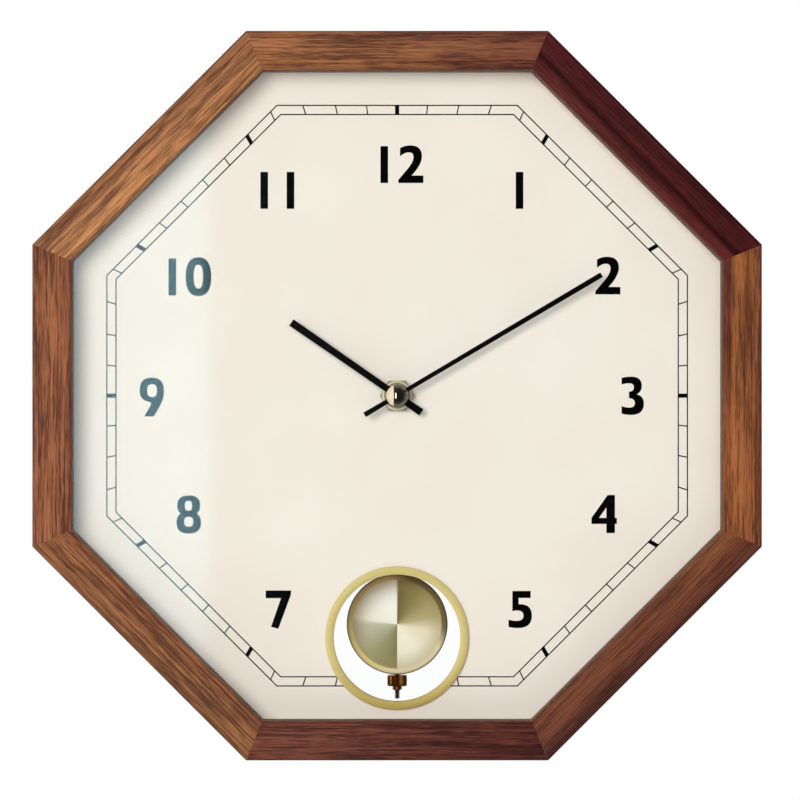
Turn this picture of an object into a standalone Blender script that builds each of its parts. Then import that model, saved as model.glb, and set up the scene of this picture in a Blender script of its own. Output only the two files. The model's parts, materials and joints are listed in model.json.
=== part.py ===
"""Octagonal wall clock with a battery movement and a pendulum behind a round window.

Metres, +Z up, the dial faces -Y and the wall is the plane Y = 0. The world origin is the axis of
the wall screw, where it leaves the wall. Everything hangs from the empty CLOCK, which stands on
the axis of the hands, so the shapes below are written round that axis: x to the right, z up, and
y from the wall (0) to the front of the frame (-FRAME_DEPTH).
"""

import math

import bmesh
import bpy
from mathutils import Vector

MM = 0.001
GAP = 0.3 * MM  # left between two pieces that touch on the real clock

# Frame
FRAME_ACROSS = 300.0 * MM  # flat to flat
FRAME_DEPTH = 55.0 * MM
RAIL_FACE = 16.0 * MM  # width of the face seen from the front
RAIL_BACK = 9.0 * MM  # thickness behind the lip
LIP_DEPTH = 4.0 * MM
EDGE_ROUND = 1.2 * MM
DIAL_RECESS = 18.0 * MM  # from the front of the frame to the dial
GLASS_THICK = 2.0 * MM

# Dial
SHEET_THICK = 0.4 * MM
BOARD_THICK = 3.0 * MM
WINDOW_DROP = 100.5 * MM  # window's centre below the hands
WINDOW_RADIUS = 26.3 * MM
WINDOW_FLANGE = 3.45 * MM
WINDOW_FLANGE_THICK = 1.2 * MM
WINDOW_SLEEVE = 0.8 * MM

# Clips that hold the dial board, and the hanger
CLIP_WIDTH = 14.0 * MM
CLIP_SHEET = 1.2 * MM
CLIP_REACH = 13.0 * MM
CLIP_HEIGHT = 13.0 * MM
SCREW_SHANK = 1.2 * MM
SCREW_HEAD = 2.4 * MM
SCREW_HEAD_THICK = 1.6 * MM
SCREW_LENGTH = 8.0 * MM
HANGER_WIDTH = 44.0 * MM
HANGER_SHEET = 1.2 * MM
HANGER_ON_RAIL = 7.0 * MM
HANGER_BELOW_HOOK = 15.0 * MM
HANGER_SCREW_SPACING = 30.0 * MM
HOOK_DROP = 8.0 * MM  # from the top rail's rebate down to the wall screw
KEY_SLOT = 2.5 * MM
KEY_EYE = 5.0 * MM
KEY_TRAVEL = 8.0 * MM

# Shafts on the axis of the hands, radii from the inside out
SECONDS_ARBOR = 0.45 * MM
TUBE_WALL = 0.6 * MM
PIPE_WALL = 0.7 * MM
BUSH_WALL = 1.35 * MM
BUSH_FLANGE = 1.5 * MM
BUSH_FLANGE_THICK = 1.0 * MM
WASHER_OVER = 1.6 * MM
WASHER_THICK = 0.8 * MM
NUT_ACROSS = 12.4 * MM
NUT_THICK = 2.5 * MM
BUSH_PROUD = 0.6 * MM  # bush beyond its nut

# Hands, lengths from the axis
HOUR_LENGTH = 53.2 * MM
HOUR_TAIL = 12.2 * MM
HOUR_ROOT = 2.7 * MM
HOUR_TIP = 3.2 * MM
HOUR_THICK = 0.6 * MM
HOUR_BOSS = 3.9 * MM
HOUR_ANGLE = math.radians(304.7)  # clockwise from twelve
MINUTE_LENGTH = 98.2 * MM
MINUTE_TAIL = 15.6 * MM
MINUTE_ROOT = 1.8 * MM
MINUTE_TIP = 2.2 * MM
MINUTE_THICK = 0.5 * MM
MINUTE_BOSS = 3.0 * MM
MINUTE_ANGLE = math.radians(59.4)
HAND_SPACE = 1.1 * MM  # running gap between one hand and the next thing in front
CAP_RADIUS = 4.5 * MM
CAP_HEIGHT = 2.7 * MM
CAP_WALL = 1.2 * MM

# Movement case
WORKS_BELOW = 9.9 * MM  # room for the wheels between the axis of the hands and the battery bay
CASE_DEPTH = 16.5 * MM
CASE_WALL = 1.5 * MM
CASE_CORNER = 3.0 * MM
COVER_THICK = 1.5 * MM
PLATE_THICK = 1.0 * MM
BATTERY_RADIUS = 7.25 * MM
BATTERY_LENGTH = 49.5 * MM
BATTERY_NUB = 1.0 * MM
BATTERY_NUB_RADIUS = 2.6 * MM
BAY_FLOOR = 0.9 * MM
BAY_WALL = 1.0 * MM
CONTACT_SHEET = 0.4 * MM
CONTACT_SPRING = 1.5 * MM

# Wheel train: teeth, modules, and the direction of each axis from the one it meshes with
CANNON_TEETH = 12
MINUTE_WHEEL_TEETH = 36
MINUTE_PINION_TEETH = 10
HOUR_WHEEL_TEETH = 40
CENTRE_TEETH = 64
THIRD_PINION_TEETH = 8
THIRD_TEETH = 60
SECONDS_PINION_TEETH = 8
SECONDS_TEETH = 60
FIFTH_PINION_TEETH = 10
FIFTH_TEETH = 60
ROTOR_PINION_TEETH = 12
ARBOR_SPACE = 1.0 * MM  # between the centre wheel's teeth and the knob's arbor
TRAIN_MODULE = 0.22 * MM
MINUTE_WHEEL_AT = math.radians(0.0)
THIRD_AT = math.radians(180.0)
FIFTH_AT = math.radians(60.0)
ROTOR_AT = math.radians(60.0)
ADDENDUM = 0.95  # in modules
DEDENDUM = 1.25
TIP_SHARE = 0.24  # of the tooth pitch
ROOT_SHARE = 0.60
WHEEL_THICK = 0.8 * MM
LEVEL_SPACE = 0.6 * MM
ARBOR = 0.4 * MM
KNOB_ARBOR = 0.8 * MM
BEARING_DEPTH = 0.9 * MM
KNOB_RADIUS = 5.0 * MM
KNOB_THICK = 2.6 * MM
KNOB_GRIPS = 12

# Stepping motor and circuit
MAGNET_RADIUS = 3.0 * MM
MAGNET_LENGTH = 2.6 * MM
AIR_GAP = 0.6 * MM
STATOR_WIDTH = 28.0 * MM
STATOR_HEIGHT = 10.0 * MM
STATOR_LEG = 4.0 * MM
STATOR_SHEET = 1.0 * MM
CORE_HEIGHT = 3.5 * MM
COIL_LENGTH = 18.0 * MM
COIL_RADIUS = 2.5 * MM
COIL_FLANGE = 0.4 * MM
COIL_FLANGE_THICK = 1.0 * MM
COIL_BORE = 2.0 * MM
BOARD_SIDE = 14.0 * MM
PCB_THICK = 0.8 * MM
CHIP_RADIUS = 2.6 * MM
CHIP_HEIGHT = 0.9 * MM
CRYSTAL_RADIUS = 1.0 * MM
CRYSTAL_LENGTH = 6.0 * MM

# Pendulum drive
HOUSING_WIDTH = 34.0 * MM
HOUSING_HEIGHT = 26.0 * MM
HOUSING_CLEAR = 7.5 * MM  # from its back to the wall
HOUSING_WALL = 1.5 * MM
PIVOT_BELOW_TOP = 6.5 * MM
PIN_RADIUS = 1.0 * MM
HANGER_BOSS = 2.6 * MM
HANGER_ARM = 6.0 * MM
HANGER_THICK = 1.5 * MM
HANGER_END = 8.0 * MM  # height of the hook peg above the hands
PEG_RADIUS = 1.2 * MM
DRIVE_COIL_RADIUS = 6.0 * MM
DRIVE_COIL_BORE = 2.0 * MM
DRIVE_COIL_LENGTH = 5.0 * MM
DRIVE_BELOW_PIVOT = 12.5 * MM
DRIVE_MAGNET = 3.5 * MM

# Pendulum
BOB_DROP = 95.9 * MM  # bob's centre below the hands
BOB_RADIUS = 21.2 * MM
BOB_DEPTH = 5.0 * MM
BOB_SHEET = 0.8 * MM
BOB_CROWN = 0.9 * MM
BOB_BEVEL = 2.9 * MM
ROD_RADIUS = 1.1 * MM
ROD_TO_WALL = 10.3 * MM
EYE_RADIUS = 3.0 * MM
EYE_THICK = 1.2 * MM
THREAD_BELOW_NUT = 3.7 * MM
RATING_RADIUS = 4.1 * MM
RATING_HEIGHT = 4.6 * MM
RATING_COLLAR = 2.0 * MM
RATING_COLLAR_HEIGHT = 1.6 * MM

SIDES = 8
HALF_FLAT = FRAME_ACROSS / 2
RAIL_NAMES = (
    "top",
    "top_right",
    "right",
    "bottom_right",
    "bottom",
    "bottom_left",
    "left",
    "top_left",
)

# Depths, from the front of the frame to the back
FRONT = -FRAME_DEPTH
LIP_BACK = FRONT + LIP_DEPTH
GLASS_FRONT = LIP_BACK + GAP
GLASS_BACK = GLASS_FRONT + GLASS_THICK
DIAL_FRONT = FRONT + DIAL_RECESS
SHEET_BACK = DIAL_FRONT + SHEET_THICK
BOARD_FRONT = SHEET_BACK + GAP
BOARD_BACK = BOARD_FRONT + BOARD_THICK
CASE_FRONT = BOARD_BACK + GAP
CASE_BACK = CASE_FRONT + CASE_DEPTH
RAIL_INSIDE = HALF_FLAT - RAIL_FACE
REBATE = HALF_FLAT - RAIL_BACK
HANG_HEIGHT = REBATE - HOOK_DROP


def finish(name, colour, roughness, metallic=0.0, alpha=1.0):
    made = bpy.data.materials.new(name)
    made.use_nodes = True
    shader = made.node_tree.nodes["Principled BSDF"]
    shader.inputs["Base Color"].default_value = (*colour, 1.0)
    shader.inputs["Roughness"].default_value = roughness
    shader.inputs["Metallic"].default_value = metallic
    shader.inputs["Alpha"].default_value = alpha
    return made


def placed(axis, a, b, along):
    """A point from its two coordinates across an axis and the one along it."""
    return {"X": (along, a, b), "Y": (a, along, b), "Z": (a, b, along)}[axis]


def prism(outline, start, end, axis="Y"):
    """A straight solid: an outline across an axis, extruded along it."""
    bm = bmesh.new()
    face = bm.faces.new([bm.verts.new(placed(axis, a, b, start)) for a, b in outline])
    raised = bmesh.ops.extrude_face_region(bm, geom=[face])["geom"]
    ends = [part for part in raised if isinstance(part, bmesh.types.BMVert)]
    bmesh.ops.translate(bm, verts=ends, vec=placed(axis, 0.0, 0.0, end - start))
    bmesh.ops.recalc_face_normals(bm, faces=bm.faces)
    return bm


def turned(profile, segments=32, axis="Y", centre=(0.0, 0.0)):
    """A turned solid: (radius, place along the axis) points, on the axis or a closed loop."""
    bm = bmesh.new()
    verts = [bm.verts.new(placed(axis, centre[0] + r, centre[1], h)) for r, h in profile]
    edges = [bm.edges.new(pair) for pair in zip(verts, verts[1:])]
    if profile[0][0] > 0.0:
        edges.append(bm.edges.new((verts[-1], verts[0])))
    bmesh.ops.spin(
        bm,
        geom=verts + edges,
        cent=placed(axis, *centre, 0.0),
        axis=placed(axis, 0.0, 0.0, 1.0),
        angle=math.tau,
        steps=segments,
        use_merge=True,
    )
    bmesh.ops.remove_doubles(bm, verts=bm.verts, dist=1e-7)
    bmesh.ops.recalc_face_normals(bm, faces=bm.faces)
    return bm


def rod(radius, start, end, segments=20, axis="Y", centre=(0.0, 0.0)):
    return turned(((0.0, start), (radius, start), (radius, end), (0.0, end)), segments, axis, centre)


def tube(inner, outer, start, end, segments=32, axis="Y", centre=(0.0, 0.0)):
    loop = ((inner, start), (outer, start), (outer, end), (inner, end))
    return turned(loop, segments, axis, centre)


def box(low, high):
    outline = ((low[0], low[2]), (high[0], low[2]), (high[0], high[2]), (low[0], high[2]))
    return prism(outline, low[1], high[1])


def octagon(half_flat):
    corner = half_flat / math.cos(math.pi / SIDES)
    turns = [math.tau * (side + 0.5) / SIDES for side in range(SIDES)]
    return [(corner * math.cos(turn), corner * math.sin(turn)) for turn in turns]


def chamfered(half_width, low, high, cut_off):
    """A rectangle in x and z with its four corners cut off."""
    return (
        (-half_width + cut_off, low),
        (half_width - cut_off, low),
        (half_width, low + cut_off),
        (half_width, high - cut_off),
        (half_width - cut_off, high),
        (-half_width + cut_off, high),
        (-half_width, high - cut_off),
        (-half_width, low + cut_off),
    )


def solid(name, bm, material, parent, origin=(0.0, 0.0, 0.0), turn=0.0, smooth=False):
    """One piece: a mesh in the clock's coordinates, with its object's origin where told."""
    mesh = bpy.data.meshes.new(name)
    bmesh.ops.translate(bm, verts=bm.verts, vec=[-place for place in origin])
    bm.to_mesh(mesh)
    bm.free()
    if smooth:
        mesh.shade_smooth()
        mesh.set_sharp_from_angle(angle=math.radians(30.0))
    if material:
        mesh.materials.append(material)
    made = bpy.data.objects.new(name, mesh)
    bpy.context.scene.collection.objects.link(made)
    made.parent = parent
    made.location = Vector(origin) - stands(parent)
    made.rotation_euler = (0.0, turn, 0.0)
    return made


def shaped(piece, bm, operation):
    """Cuts a shape from a piece, or joins one to it, both in the clock's coordinates."""
    origin = piece.location + stands(piece.parent)
    name = piece.name + "_" + operation.lower()
    tool = solid(name, bm, None, piece.parent, origin=origin, turn=piece.rotation_euler.y)
    tool.hide_render = True
    tool.display_type = "WIRE"
    step = piece.modifiers.new(operation.title(), "BOOLEAN")
    step.operation = operation
    step.solver = "EXACT"
    step.object = tool


def cut(piece, bm):
    shaped(piece, bm, "DIFFERENCE")


def join(piece, bm):
    shaped(piece, bm, "UNION")


def stands(parent):
    """Where a parent stands in the clock's coordinates."""
    return Vector() if parent is CLOCK else parent.location


def axis_empty(name, x=0.0, z=0.0):
    made = bpy.data.objects.new(name, None)
    bpy.context.scene.collection.objects.link(made)
    made.parent = CLOCK
    made.location = (x, 0.0, z)
    made.empty_display_size = 10.0 * MM
    return made


for old in list(bpy.data.objects):
    bpy.data.objects.remove(old, do_unlink=True)

CLOCK = bpy.data.objects.new("clock", None)
bpy.context.scene.collection.objects.link(CLOCK)
CLOCK.location = (0.0, 0.0, -HANG_HEIGHT)

RAIL_COLOURS = {
    "top": (0.26, 0.12, 0.06),
    "top_right": (0.08, 0.015, 0.015),
    "right": (0.24, 0.09, 0.04),
    "bottom_right": (0.20, 0.08, 0.04),
    "bottom": (0.17, 0.06, 0.04),
    "bottom_left": (0.26, 0.11, 0.06),
    "left": (0.24, 0.09, 0.05),
    "top_left": (0.42, 0.18, 0.08),
}
CREAM = finish("cream_paper", (0.86, 0.80, 0.70), 0.75)
HARDBOARD = finish("hardboard", (0.25, 0.14, 0.07), 0.85)
STAINED = finish("stained_lining", (0.16, 0.07, 0.035), 0.55)
CLEAR = finish("clear_glass", (0.95, 0.97, 0.97), 0.03, alpha=0.12)
GOLD = finish("gilt_brass", (0.68, 0.54, 0.22), 0.35, 1.0)
BRASS = finish("brass", (0.55, 0.44, 0.22), 0.3, 1.0)
SPUN = finish("spun_brass", (0.72, 0.66, 0.42), 0.3, 1.0)
POLISHED = finish("polished_cap", (0.35, 0.25, 0.18), 0.08, 1.0)
BLACK = finish("black_paint", (0.01, 0.01, 0.01), 0.45)
STEEL = finish("zinc_steel", (0.6, 0.6, 0.6), 0.35, 1.0)
CASE_BLACK = finish("black_moulding", (0.02, 0.02, 0.02), 0.5)
WHEEL_WHITE = finish("white_acetal", (0.8, 0.8, 0.76), 0.4)
COPPER = finish("copper_wire", (0.6, 0.25, 0.12), 0.35, 1.0)
GREEN = finish("circuit_laminate", (0.03, 0.18, 0.07), 0.5)
MAGNET = finish("ferrite", (0.05, 0.05, 0.055), 0.5, 0.4)
CELL = finish("battery_label", (0.06, 0.07, 0.08), 0.35, 0.3)
ZINC = finish("cast_zinc", (0.45, 0.46, 0.47), 0.5, 1.0)
RUBBER = finish("black_rubber", (0.02, 0.02, 0.02), 0.8)


# ---- Frame: eight rebated sticks, mitred and glued, round a lining that spaces the glass
def rail_stick():
    """The top stick: an L section along x, its front edges rounded and its ends mitred."""
    section = (
        (FRONT, HALF_FLAT),
        (FRONT, RAIL_INSIDE),
        (LIP_BACK, RAIL_INSIDE),
        (LIP_BACK, REBATE),
        (0.0, REBATE),
        (0.0, HALF_FLAT),
    )
    bm = prism(section, -HALF_FLAT / 2, HALF_FLAT / 2, axis="X")
    front_edges = [
        edge
        for edge in bm.edges
        if all(abs(vert.co.y - FRONT) < GAP for vert in edge.verts)
        and abs(edge.verts[0].co.z - edge.verts[1].co.z) < GAP
    ]
    bmesh.ops.bevel(
        bm,
        geom=front_edges,
        offset=EDGE_ROUND,
        segments=2,
        profile=0.5,
        affect="EDGES",
        material=-1,
    )
    mitre = math.pi / SIDES
    for side in (-1, 1):
        normal = (side * math.cos(mitre), 0.0, -math.sin(mitre))
        sawn = bmesh.ops.bisect_plane(
            bm,
            geom=bm.verts[:] + bm.edges[:] + bm.faces[:],
            plane_co=[-GAP / 2 * part for part in normal],
            plane_no=normal,
            clear_outer=True,
        )
        rim = [part for part in sawn["geom_cut"] if isinstance(part, bmesh.types.BMEdge)]
        bmesh.ops.holes_fill(bm, edges=rim)
    bmesh.ops.recalc_face_normals(bm, faces=bm.faces)
    return bm


CLIP_SCREW_Y = BOARD_BACK + GAP + CLIP_HEIGHT * 0.55
CLIP_SCREW_TOP = REBATE - GAP - CLIP_SHEET - GAP
rails = {}
for turn, side in enumerate(RAIL_NAMES):
    wood = finish("walnut_" + side, RAIL_COLOURS[side], 0.45)
    rails[side] = solid("rail_" + side, rail_stick(), wood, CLOCK, turn=math.tau * turn / SIDES)

lining = solid(
    "glazing_ring",
    prism(octagon(REBATE - GAP), GLASS_BACK + GAP, DIAL_FRONT - GAP),
    STAINED,
    CLOCK,
)
cut(lining, prism(octagon(RAIL_INSIDE), GLASS_BACK, DIAL_FRONT))
solid("glass_pane", prism(octagon(REBATE - GAP), GLASS_FRONT, GLASS_BACK), CLEAR, CLOCK)

# ---- Dial: printed sheet on a board, with a brass ring lining the pendulum window
TUBE_INNER = SECONDS_ARBOR + GAP
TUBE_OUTER = TUBE_INNER + TUBE_WALL
PIPE_INNER = TUBE_OUTER + GAP
PIPE_OUTER = PIPE_INNER + PIPE_WALL
BUSH_INNER = PIPE_OUTER + GAP
BUSH_OUTER = BUSH_INNER + BUSH_WALL
WINDOW_HOLE = WINDOW_RADIUS + WINDOW_SLEEVE + GAP
for name, start, end, material in (
    ("dial_sheet", DIAL_FRONT, SHEET_BACK, CREAM),
    ("dial_board", BOARD_FRONT, BOARD_BACK, HARDBOARD),
):
    layer = solid(name, prism(octagon(REBATE - GAP), start, end), material, CLOCK)
    through = (start - GAP, end + GAP)
    cut(layer, rod(WINDOW_HOLE, *through, segments=48, centre=(0.0, -WINDOW_DROP)))
    cut(layer, rod(BUSH_OUTER + GAP, *through, segments=24))

RING_FRONT = DIAL_FRONT - GAP - WINDOW_FLANGE_THICK
ring_section = (
    (WINDOW_RADIUS, RING_FRONT),
    (WINDOW_RADIUS + WINDOW_FLANGE, RING_FRONT),
    (WINDOW_RADIUS + WINDOW_FLANGE, RING_FRONT + WINDOW_FLANGE_THICK),
    (WINDOW_RADIUS + WINDOW_SLEEVE, RING_FRONT + WINDOW_FLANGE_THICK),
    (WINDOW_RADIUS + WINDOW_SLEEVE, BOARD_BACK),
    (WINDOW_RADIUS, BOARD_BACK),
)
solid(
    "window_ring",
    turned(ring_section, 48, centre=(0.0, -WINDOW_DROP)),
    GOLD,
    CLOCK,
    origin=(0.0, 0.0, -WINDOW_DROP),
    smooth=True,
)

# ---- Four angle clips hold the board, each with a screw into a diagonal stick
clip_section = (
    (BOARD_BACK + GAP, REBATE - GAP - CLIP_REACH),
    (BOARD_BACK + GAP, REBATE - GAP),
    (BOARD_BACK + GAP + CLIP_HEIGHT, REBATE - GAP),
    (BOARD_BACK + GAP + CLIP_HEIGHT, REBATE - GAP - CLIP_SHEET),
    (BOARD_BACK + GAP + CLIP_SHEET, REBATE - GAP - CLIP_SHEET),
    (BOARD_BACK + GAP + CLIP_SHEET, REBATE - GAP - CLIP_REACH),
)
clip_screw = (
    (0.0, CLIP_SCREW_TOP - SCREW_HEAD_THICK),
    (SCREW_HEAD, CLIP_SCREW_TOP - SCREW_HEAD_THICK),
    (SCREW_HEAD, CLIP_SCREW_TOP),
    (SCREW_SHANK, CLIP_SCREW_TOP),
    (SCREW_SHANK, CLIP_SCREW_TOP + SCREW_LENGTH),
    (0.0, CLIP_SCREW_TOP + SCREW_LENGTH),
)
screw_place = (0.0, CLIP_SCREW_Y)
pilot_end = CLIP_SCREW_TOP + SCREW_LENGTH + GAP
for turn, side in enumerate(RAIL_NAMES):
    if "_" not in side:
        continue
    facing = math.tau * turn / SIDES
    clip = solid(
        "dial_clip_" + side,
        prism(clip_section, -CLIP_WIDTH / 2, CLIP_WIDTH / 2, axis="X"),
        STEEL,
        CLOCK,
        turn=facing,
    )
    pilot = (SCREW_SHANK + GAP, CLIP_SCREW_TOP, pilot_end, 16, "Z", screw_place)
    cut(clip, rod(*pilot))
    cut(rails[side], rod(*pilot))
    solid(
        "clip_screw_" + side,
        turned(clip_screw, 16, "Z", screw_place),
        STEEL,
        CLOCK,
        turn=facing,
        smooth=True,
    )

# ---- Hanger: a keyhole plate let into the back of the top stick
PLATE_TOP = REBATE + HANGER_ON_RAIL
PLATE_LOW = HANG_HEIGHT - HANGER_BELOW_HOOK
EYE_HEIGHT = HANG_HEIGHT - KEY_TRAVEL
SCREW_ROW = REBATE + HANGER_ON_RAIL / 2
plate_back = -GAP
plate_front = plate_back - HANGER_SHEET
plate = solid(
    "hanger_plate",
    box((-HANGER_WIDTH / 2, plate_front, PLATE_LOW), (HANGER_WIDTH / 2, plate_back, PLATE_TOP)),
    STEEL,
    CLOCK,
)
beyond = (plate_front - GAP, GAP)
cut(plate, rod(KEY_EYE, *beyond, centre=(0.0, EYE_HEIGHT)))
keyhole_slot = rod(KEY_SLOT, *beyond, centre=(0.0, HANG_HEIGHT))
cut(plate, keyhole_slot)
cut(plate, box((-KEY_SLOT, beyond[0], EYE_HEIGHT), (KEY_SLOT, beyond[1], HANG_HEIGHT)))
let_in = box(
    (-HANGER_WIDTH / 2 - GAP, plate_front - GAP, REBATE - RAIL_BACK),
    (HANGER_WIDTH / 2 + GAP, RAIL_BACK, PLATE_TOP + GAP),
)
cut(rails["top"], let_in)
hanger_screw = (
    (0.0, plate_back),
    (SCREW_HEAD, plate_back),
    (SCREW_SHANK, plate_front),
    (SCREW_SHANK, plate_front - SCREW_LENGTH),
    (0.0, plate_front - SCREW_LENGTH),
)
countersink = (
    (0.0, GAP),
    (SCREW_HEAD + 2 * GAP, GAP),
    (SCREW_SHANK + GAP, plate_front),
    (SCREW_SHANK + GAP, plate_front - SCREW_LENGTH - GAP),
    (0.0, plate_front - SCREW_LENGTH - GAP),
)
for side, across in (("left", -HANGER_SCREW_SPACING / 2), ("right", HANGER_SCREW_SPACING / 2)):
    spot = (across, SCREW_ROW)
    cut(plate, turned(countersink, 16, centre=spot))
    cut(rails["top"], turned(countersink, 16, centre=spot))
    solid("hanger_screw_" + side, turned(hanger_screw, 16, centre=spot), STEEL, CLOCK, smooth=True)

# ---- Bush, washer and nut clamp the movement to the dial
WASHER_FRONT = DIAL_FRONT - GAP - WASHER_THICK
NUT_FRONT = WASHER_FRONT - GAP - NUT_THICK
BUSH_FRONT = NUT_FRONT - BUSH_PROUD
CASE_INSIDE = CASE_FRONT + CASE_WALL
FLANGE_FRONT = CASE_INSIDE + GAP
FLANGE_BACK = FLANGE_FRONT + BUSH_FLANGE_THICK
bush_section = (
    (BUSH_INNER, BUSH_FRONT),
    (BUSH_OUTER, BUSH_FRONT),
    (BUSH_OUTER, FLANGE_FRONT),
    (BUSH_OUTER + BUSH_FLANGE, FLANGE_FRONT),
    (BUSH_OUTER + BUSH_FLANGE, FLANGE_BACK),
    (BUSH_INNER, FLANGE_BACK),
)
solid("threaded_bush", turned(bush_section, 24), BRASS, CLOCK, smooth=True)
washer = tube(BUSH_OUTER + GAP, BUSH_OUTER + WASHER_OVER, WASHER_FRONT, DIAL_FRONT - GAP, 24)
solid("shaft_washer", washer, RUBBER, CLOCK, smooth=True)
nut_corner = NUT_ACROSS / 2 / math.cos(math.pi / 6)
hexagon = [
    (nut_corner * math.cos(turn * math.pi / 3), nut_corner * math.sin(turn * math.pi / 3))
    for turn in range(6)
]
nut = solid("shaft_nut", prism(hexagon, NUT_FRONT, WASHER_FRONT - GAP), BRASS, CLOCK)
cut(nut, rod(BUSH_OUTER + GAP, NUT_FRONT - GAP, WASHER_FRONT, 24))


# ---- Hands, straight bars a little wider at the tip, with the cap nut in front of them
def hand_outline(length, tail, root, tip, angle):
    """Clockwise from twelve: the widths run on to the tail, which is as wide as the tip."""
    spine = ((-tail, tip), (0.0, root), (length, tip))
    right = [(width / 2, along) for along, width in spine]
    left = [(-width / 2, along) for along, width in reversed(spine)]
    c, s = math.cos(angle), math.sin(angle)
    return [(a * c + b * s, b * c - a * s) for a, b in right + left]


HOUR_BACK = BUSH_FRONT - HAND_SPACE
HOUR_FRONT = HOUR_BACK - HOUR_THICK
MINUTE_BACK = HOUR_FRONT - HAND_SPACE
MINUTE_FRONT = MINUTE_BACK - MINUTE_THICK
CAP_BACK = MINUTE_FRONT - GAP
CAP_FRONT = CAP_BACK - CAP_HEIGHT
PIPE_FRONT = HOUR_FRONT - GAP
TUBE_FRONT = CAP_FRONT + CAP_WALL + GAP
minute_axis = axis_empty("minute_axis")
hour_axis = axis_empty("hour_axis")
hour_shape = hand_outline(HOUR_LENGTH, HOUR_TAIL, HOUR_ROOT, HOUR_TIP, HOUR_ANGLE)
hour_hand = solid("hour_hand", prism(hour_shape, HOUR_FRONT, HOUR_BACK), BLACK, hour_axis)
join(hour_hand, rod(HOUR_BOSS, HOUR_FRONT, HOUR_BACK, 24))
cut(hour_hand, rod(PIPE_OUTER + GAP, HOUR_FRONT - GAP, HOUR_BACK + GAP, 24))
minute_shape = hand_outline(MINUTE_LENGTH, MINUTE_TAIL, MINUTE_ROOT, MINUTE_TIP, MINUTE_ANGLE)
minute_hand = solid(
    "minute_hand", prism(minute_shape, MINUTE_FRONT, MINUTE_BACK), BLACK, minute_axis
)
join(minute_hand, rod(MINUTE_BOSS, MINUTE_FRONT, MINUTE_BACK, 24))
cut(minute_hand, rod(TUBE_OUTER + GAP, MINUTE_FRONT - GAP, MINUTE_BACK + GAP, 24))
DOME_STEPS = 5
dome = [
    (
        CAP_RADIUS * math.sin(step / DOME_STEPS * math.pi / 2),
        CAP_BACK - CAP_HEIGHT / 3 - CAP_HEIGHT * 2 / 3 * math.cos(step / DOME_STEPS * math.pi / 2),
    )
    for step in range(DOME_STEPS + 1)
]
cap_section = dome + [
    (CAP_RADIUS, CAP_BACK),
    (TUBE_OUTER + GAP, CAP_BACK),
    (TUBE_OUTER + GAP, CAP_FRONT + CAP_WALL),
    (0.0, CAP_FRONT + CAP_WALL),
]
solid("hand_cap", turned(cap_section, 32), POLISHED, minute_axis, smooth=True)


# ---- Wheel train
def gear(teeth, module, phase, start, end, centre=(0.0, 0.0)):
    """A toothed disc, a trapezium for each tooth, with one tooth's centre at the phase angle."""
    pitch = teeth * module / 2
    step = math.tau / teeth
    tip, root = pitch + ADDENDUM * module, pitch - DEDENDUM * module
    corners = (
        (root, -ROOT_SHARE / 2),
        (tip, -TIP_SHARE / 2),
        (tip, TIP_SHARE / 2),
        (root, ROOT_SHARE / 2),
    )
    outline = [
        (
            centre[0] + radius * math.cos(phase + (tooth + share) * step),
            centre[1] + radius * math.sin(phase + (tooth + share) * step),
        )
        for tooth in range(teeth)
        for radius, share in corners
    ]
    return prism(outline, start, end)


def meshing(teeth, phase, direction, other_teeth):
    """Phase that puts a gap of the other gear on a tooth of this one, seen along a direction."""
    step = math.tau / teeth
    offset = (phase - direction + step / 2) % step - step / 2
    return direction + math.pi - offset * teeth / other_teeth + math.pi / other_teeth


def beside(centre, distance, direction):
    return (
        centre[0] + distance * math.cos(direction),
        centre[1] + distance * math.sin(direction),
    )


HAND_AXIS = (0.0, 0.0)
THIRD_DISTANCE = (THIRD_TEETH + SECONDS_PINION_TEETH) * TRAIN_MODULE / 2
CENTRE_MODULE = 2 * THIRD_DISTANCE / (CENTRE_TEETH + THIRD_PINION_TEETH)
CENTRE_TIP = (CENTRE_TEETH / 2 + ADDENDUM) * CENTRE_MODULE
MOTION_DISTANCE = CENTRE_TIP + ARBOR_SPACE + KNOB_ARBOR
MOTION_MODULE = 2 * MOTION_DISTANCE / (CANNON_TEETH + MINUTE_WHEEL_TEETH)
HOUR_MODULE = 2 * MOTION_DISTANCE / (MINUTE_PINION_TEETH + HOUR_WHEEL_TEETH)
FIFTH_DISTANCE = (SECONDS_TEETH + FIFTH_PINION_TEETH) * TRAIN_MODULE / 2
ROTOR_DISTANCE = (FIFTH_TEETH + ROTOR_PINION_TEETH) * TRAIN_MODULE / 2
MINUTE_WHEEL_AXIS = beside(HAND_AXIS, MOTION_DISTANCE, MINUTE_WHEEL_AT)
THIRD_AXIS = beside(HAND_AXIS, THIRD_DISTANCE, THIRD_AT)
FIFTH_AXIS = beside(HAND_AXIS, FIFTH_DISTANCE, FIFTH_AT)
ROTOR_AXIS = beside(FIFTH_AXIS, ROTOR_DISTANCE, ROTOR_AT)

# Levels of the train from the front, each a wheel thick, with the train plate after the second
LEVEL = WHEEL_THICK + LEVEL_SPACE
HOUR_LEVEL = FLANGE_BACK + GAP
MINUTE_LEVEL = HOUR_LEVEL + LEVEL
PLATE_FRONT = MINUTE_LEVEL + WHEEL_THICK + GAP
PLATE_BACK = PLATE_FRONT + PLATE_THICK
CENTRE_LEVEL = PLATE_BACK + GAP
THIRD_LEVEL = CENTRE_LEVEL + LEVEL
SECONDS_LEVEL = THIRD_LEVEL + LEVEL
FIFTH_LEVEL = SECONDS_LEVEL + LEVEL
COVER_FRONT = CASE_BACK - COVER_THICK
ARBOR_BACK = COVER_FRONT + BEARING_DEPTH - GAP
ARBOR_FRONT = PLATE_BACK - PLATE_THICK / 2


def disc(teeth, module, phase, level, centre):
    return gear(teeth, module, phase, level, level + WHEEL_THICK, centre)


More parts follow.
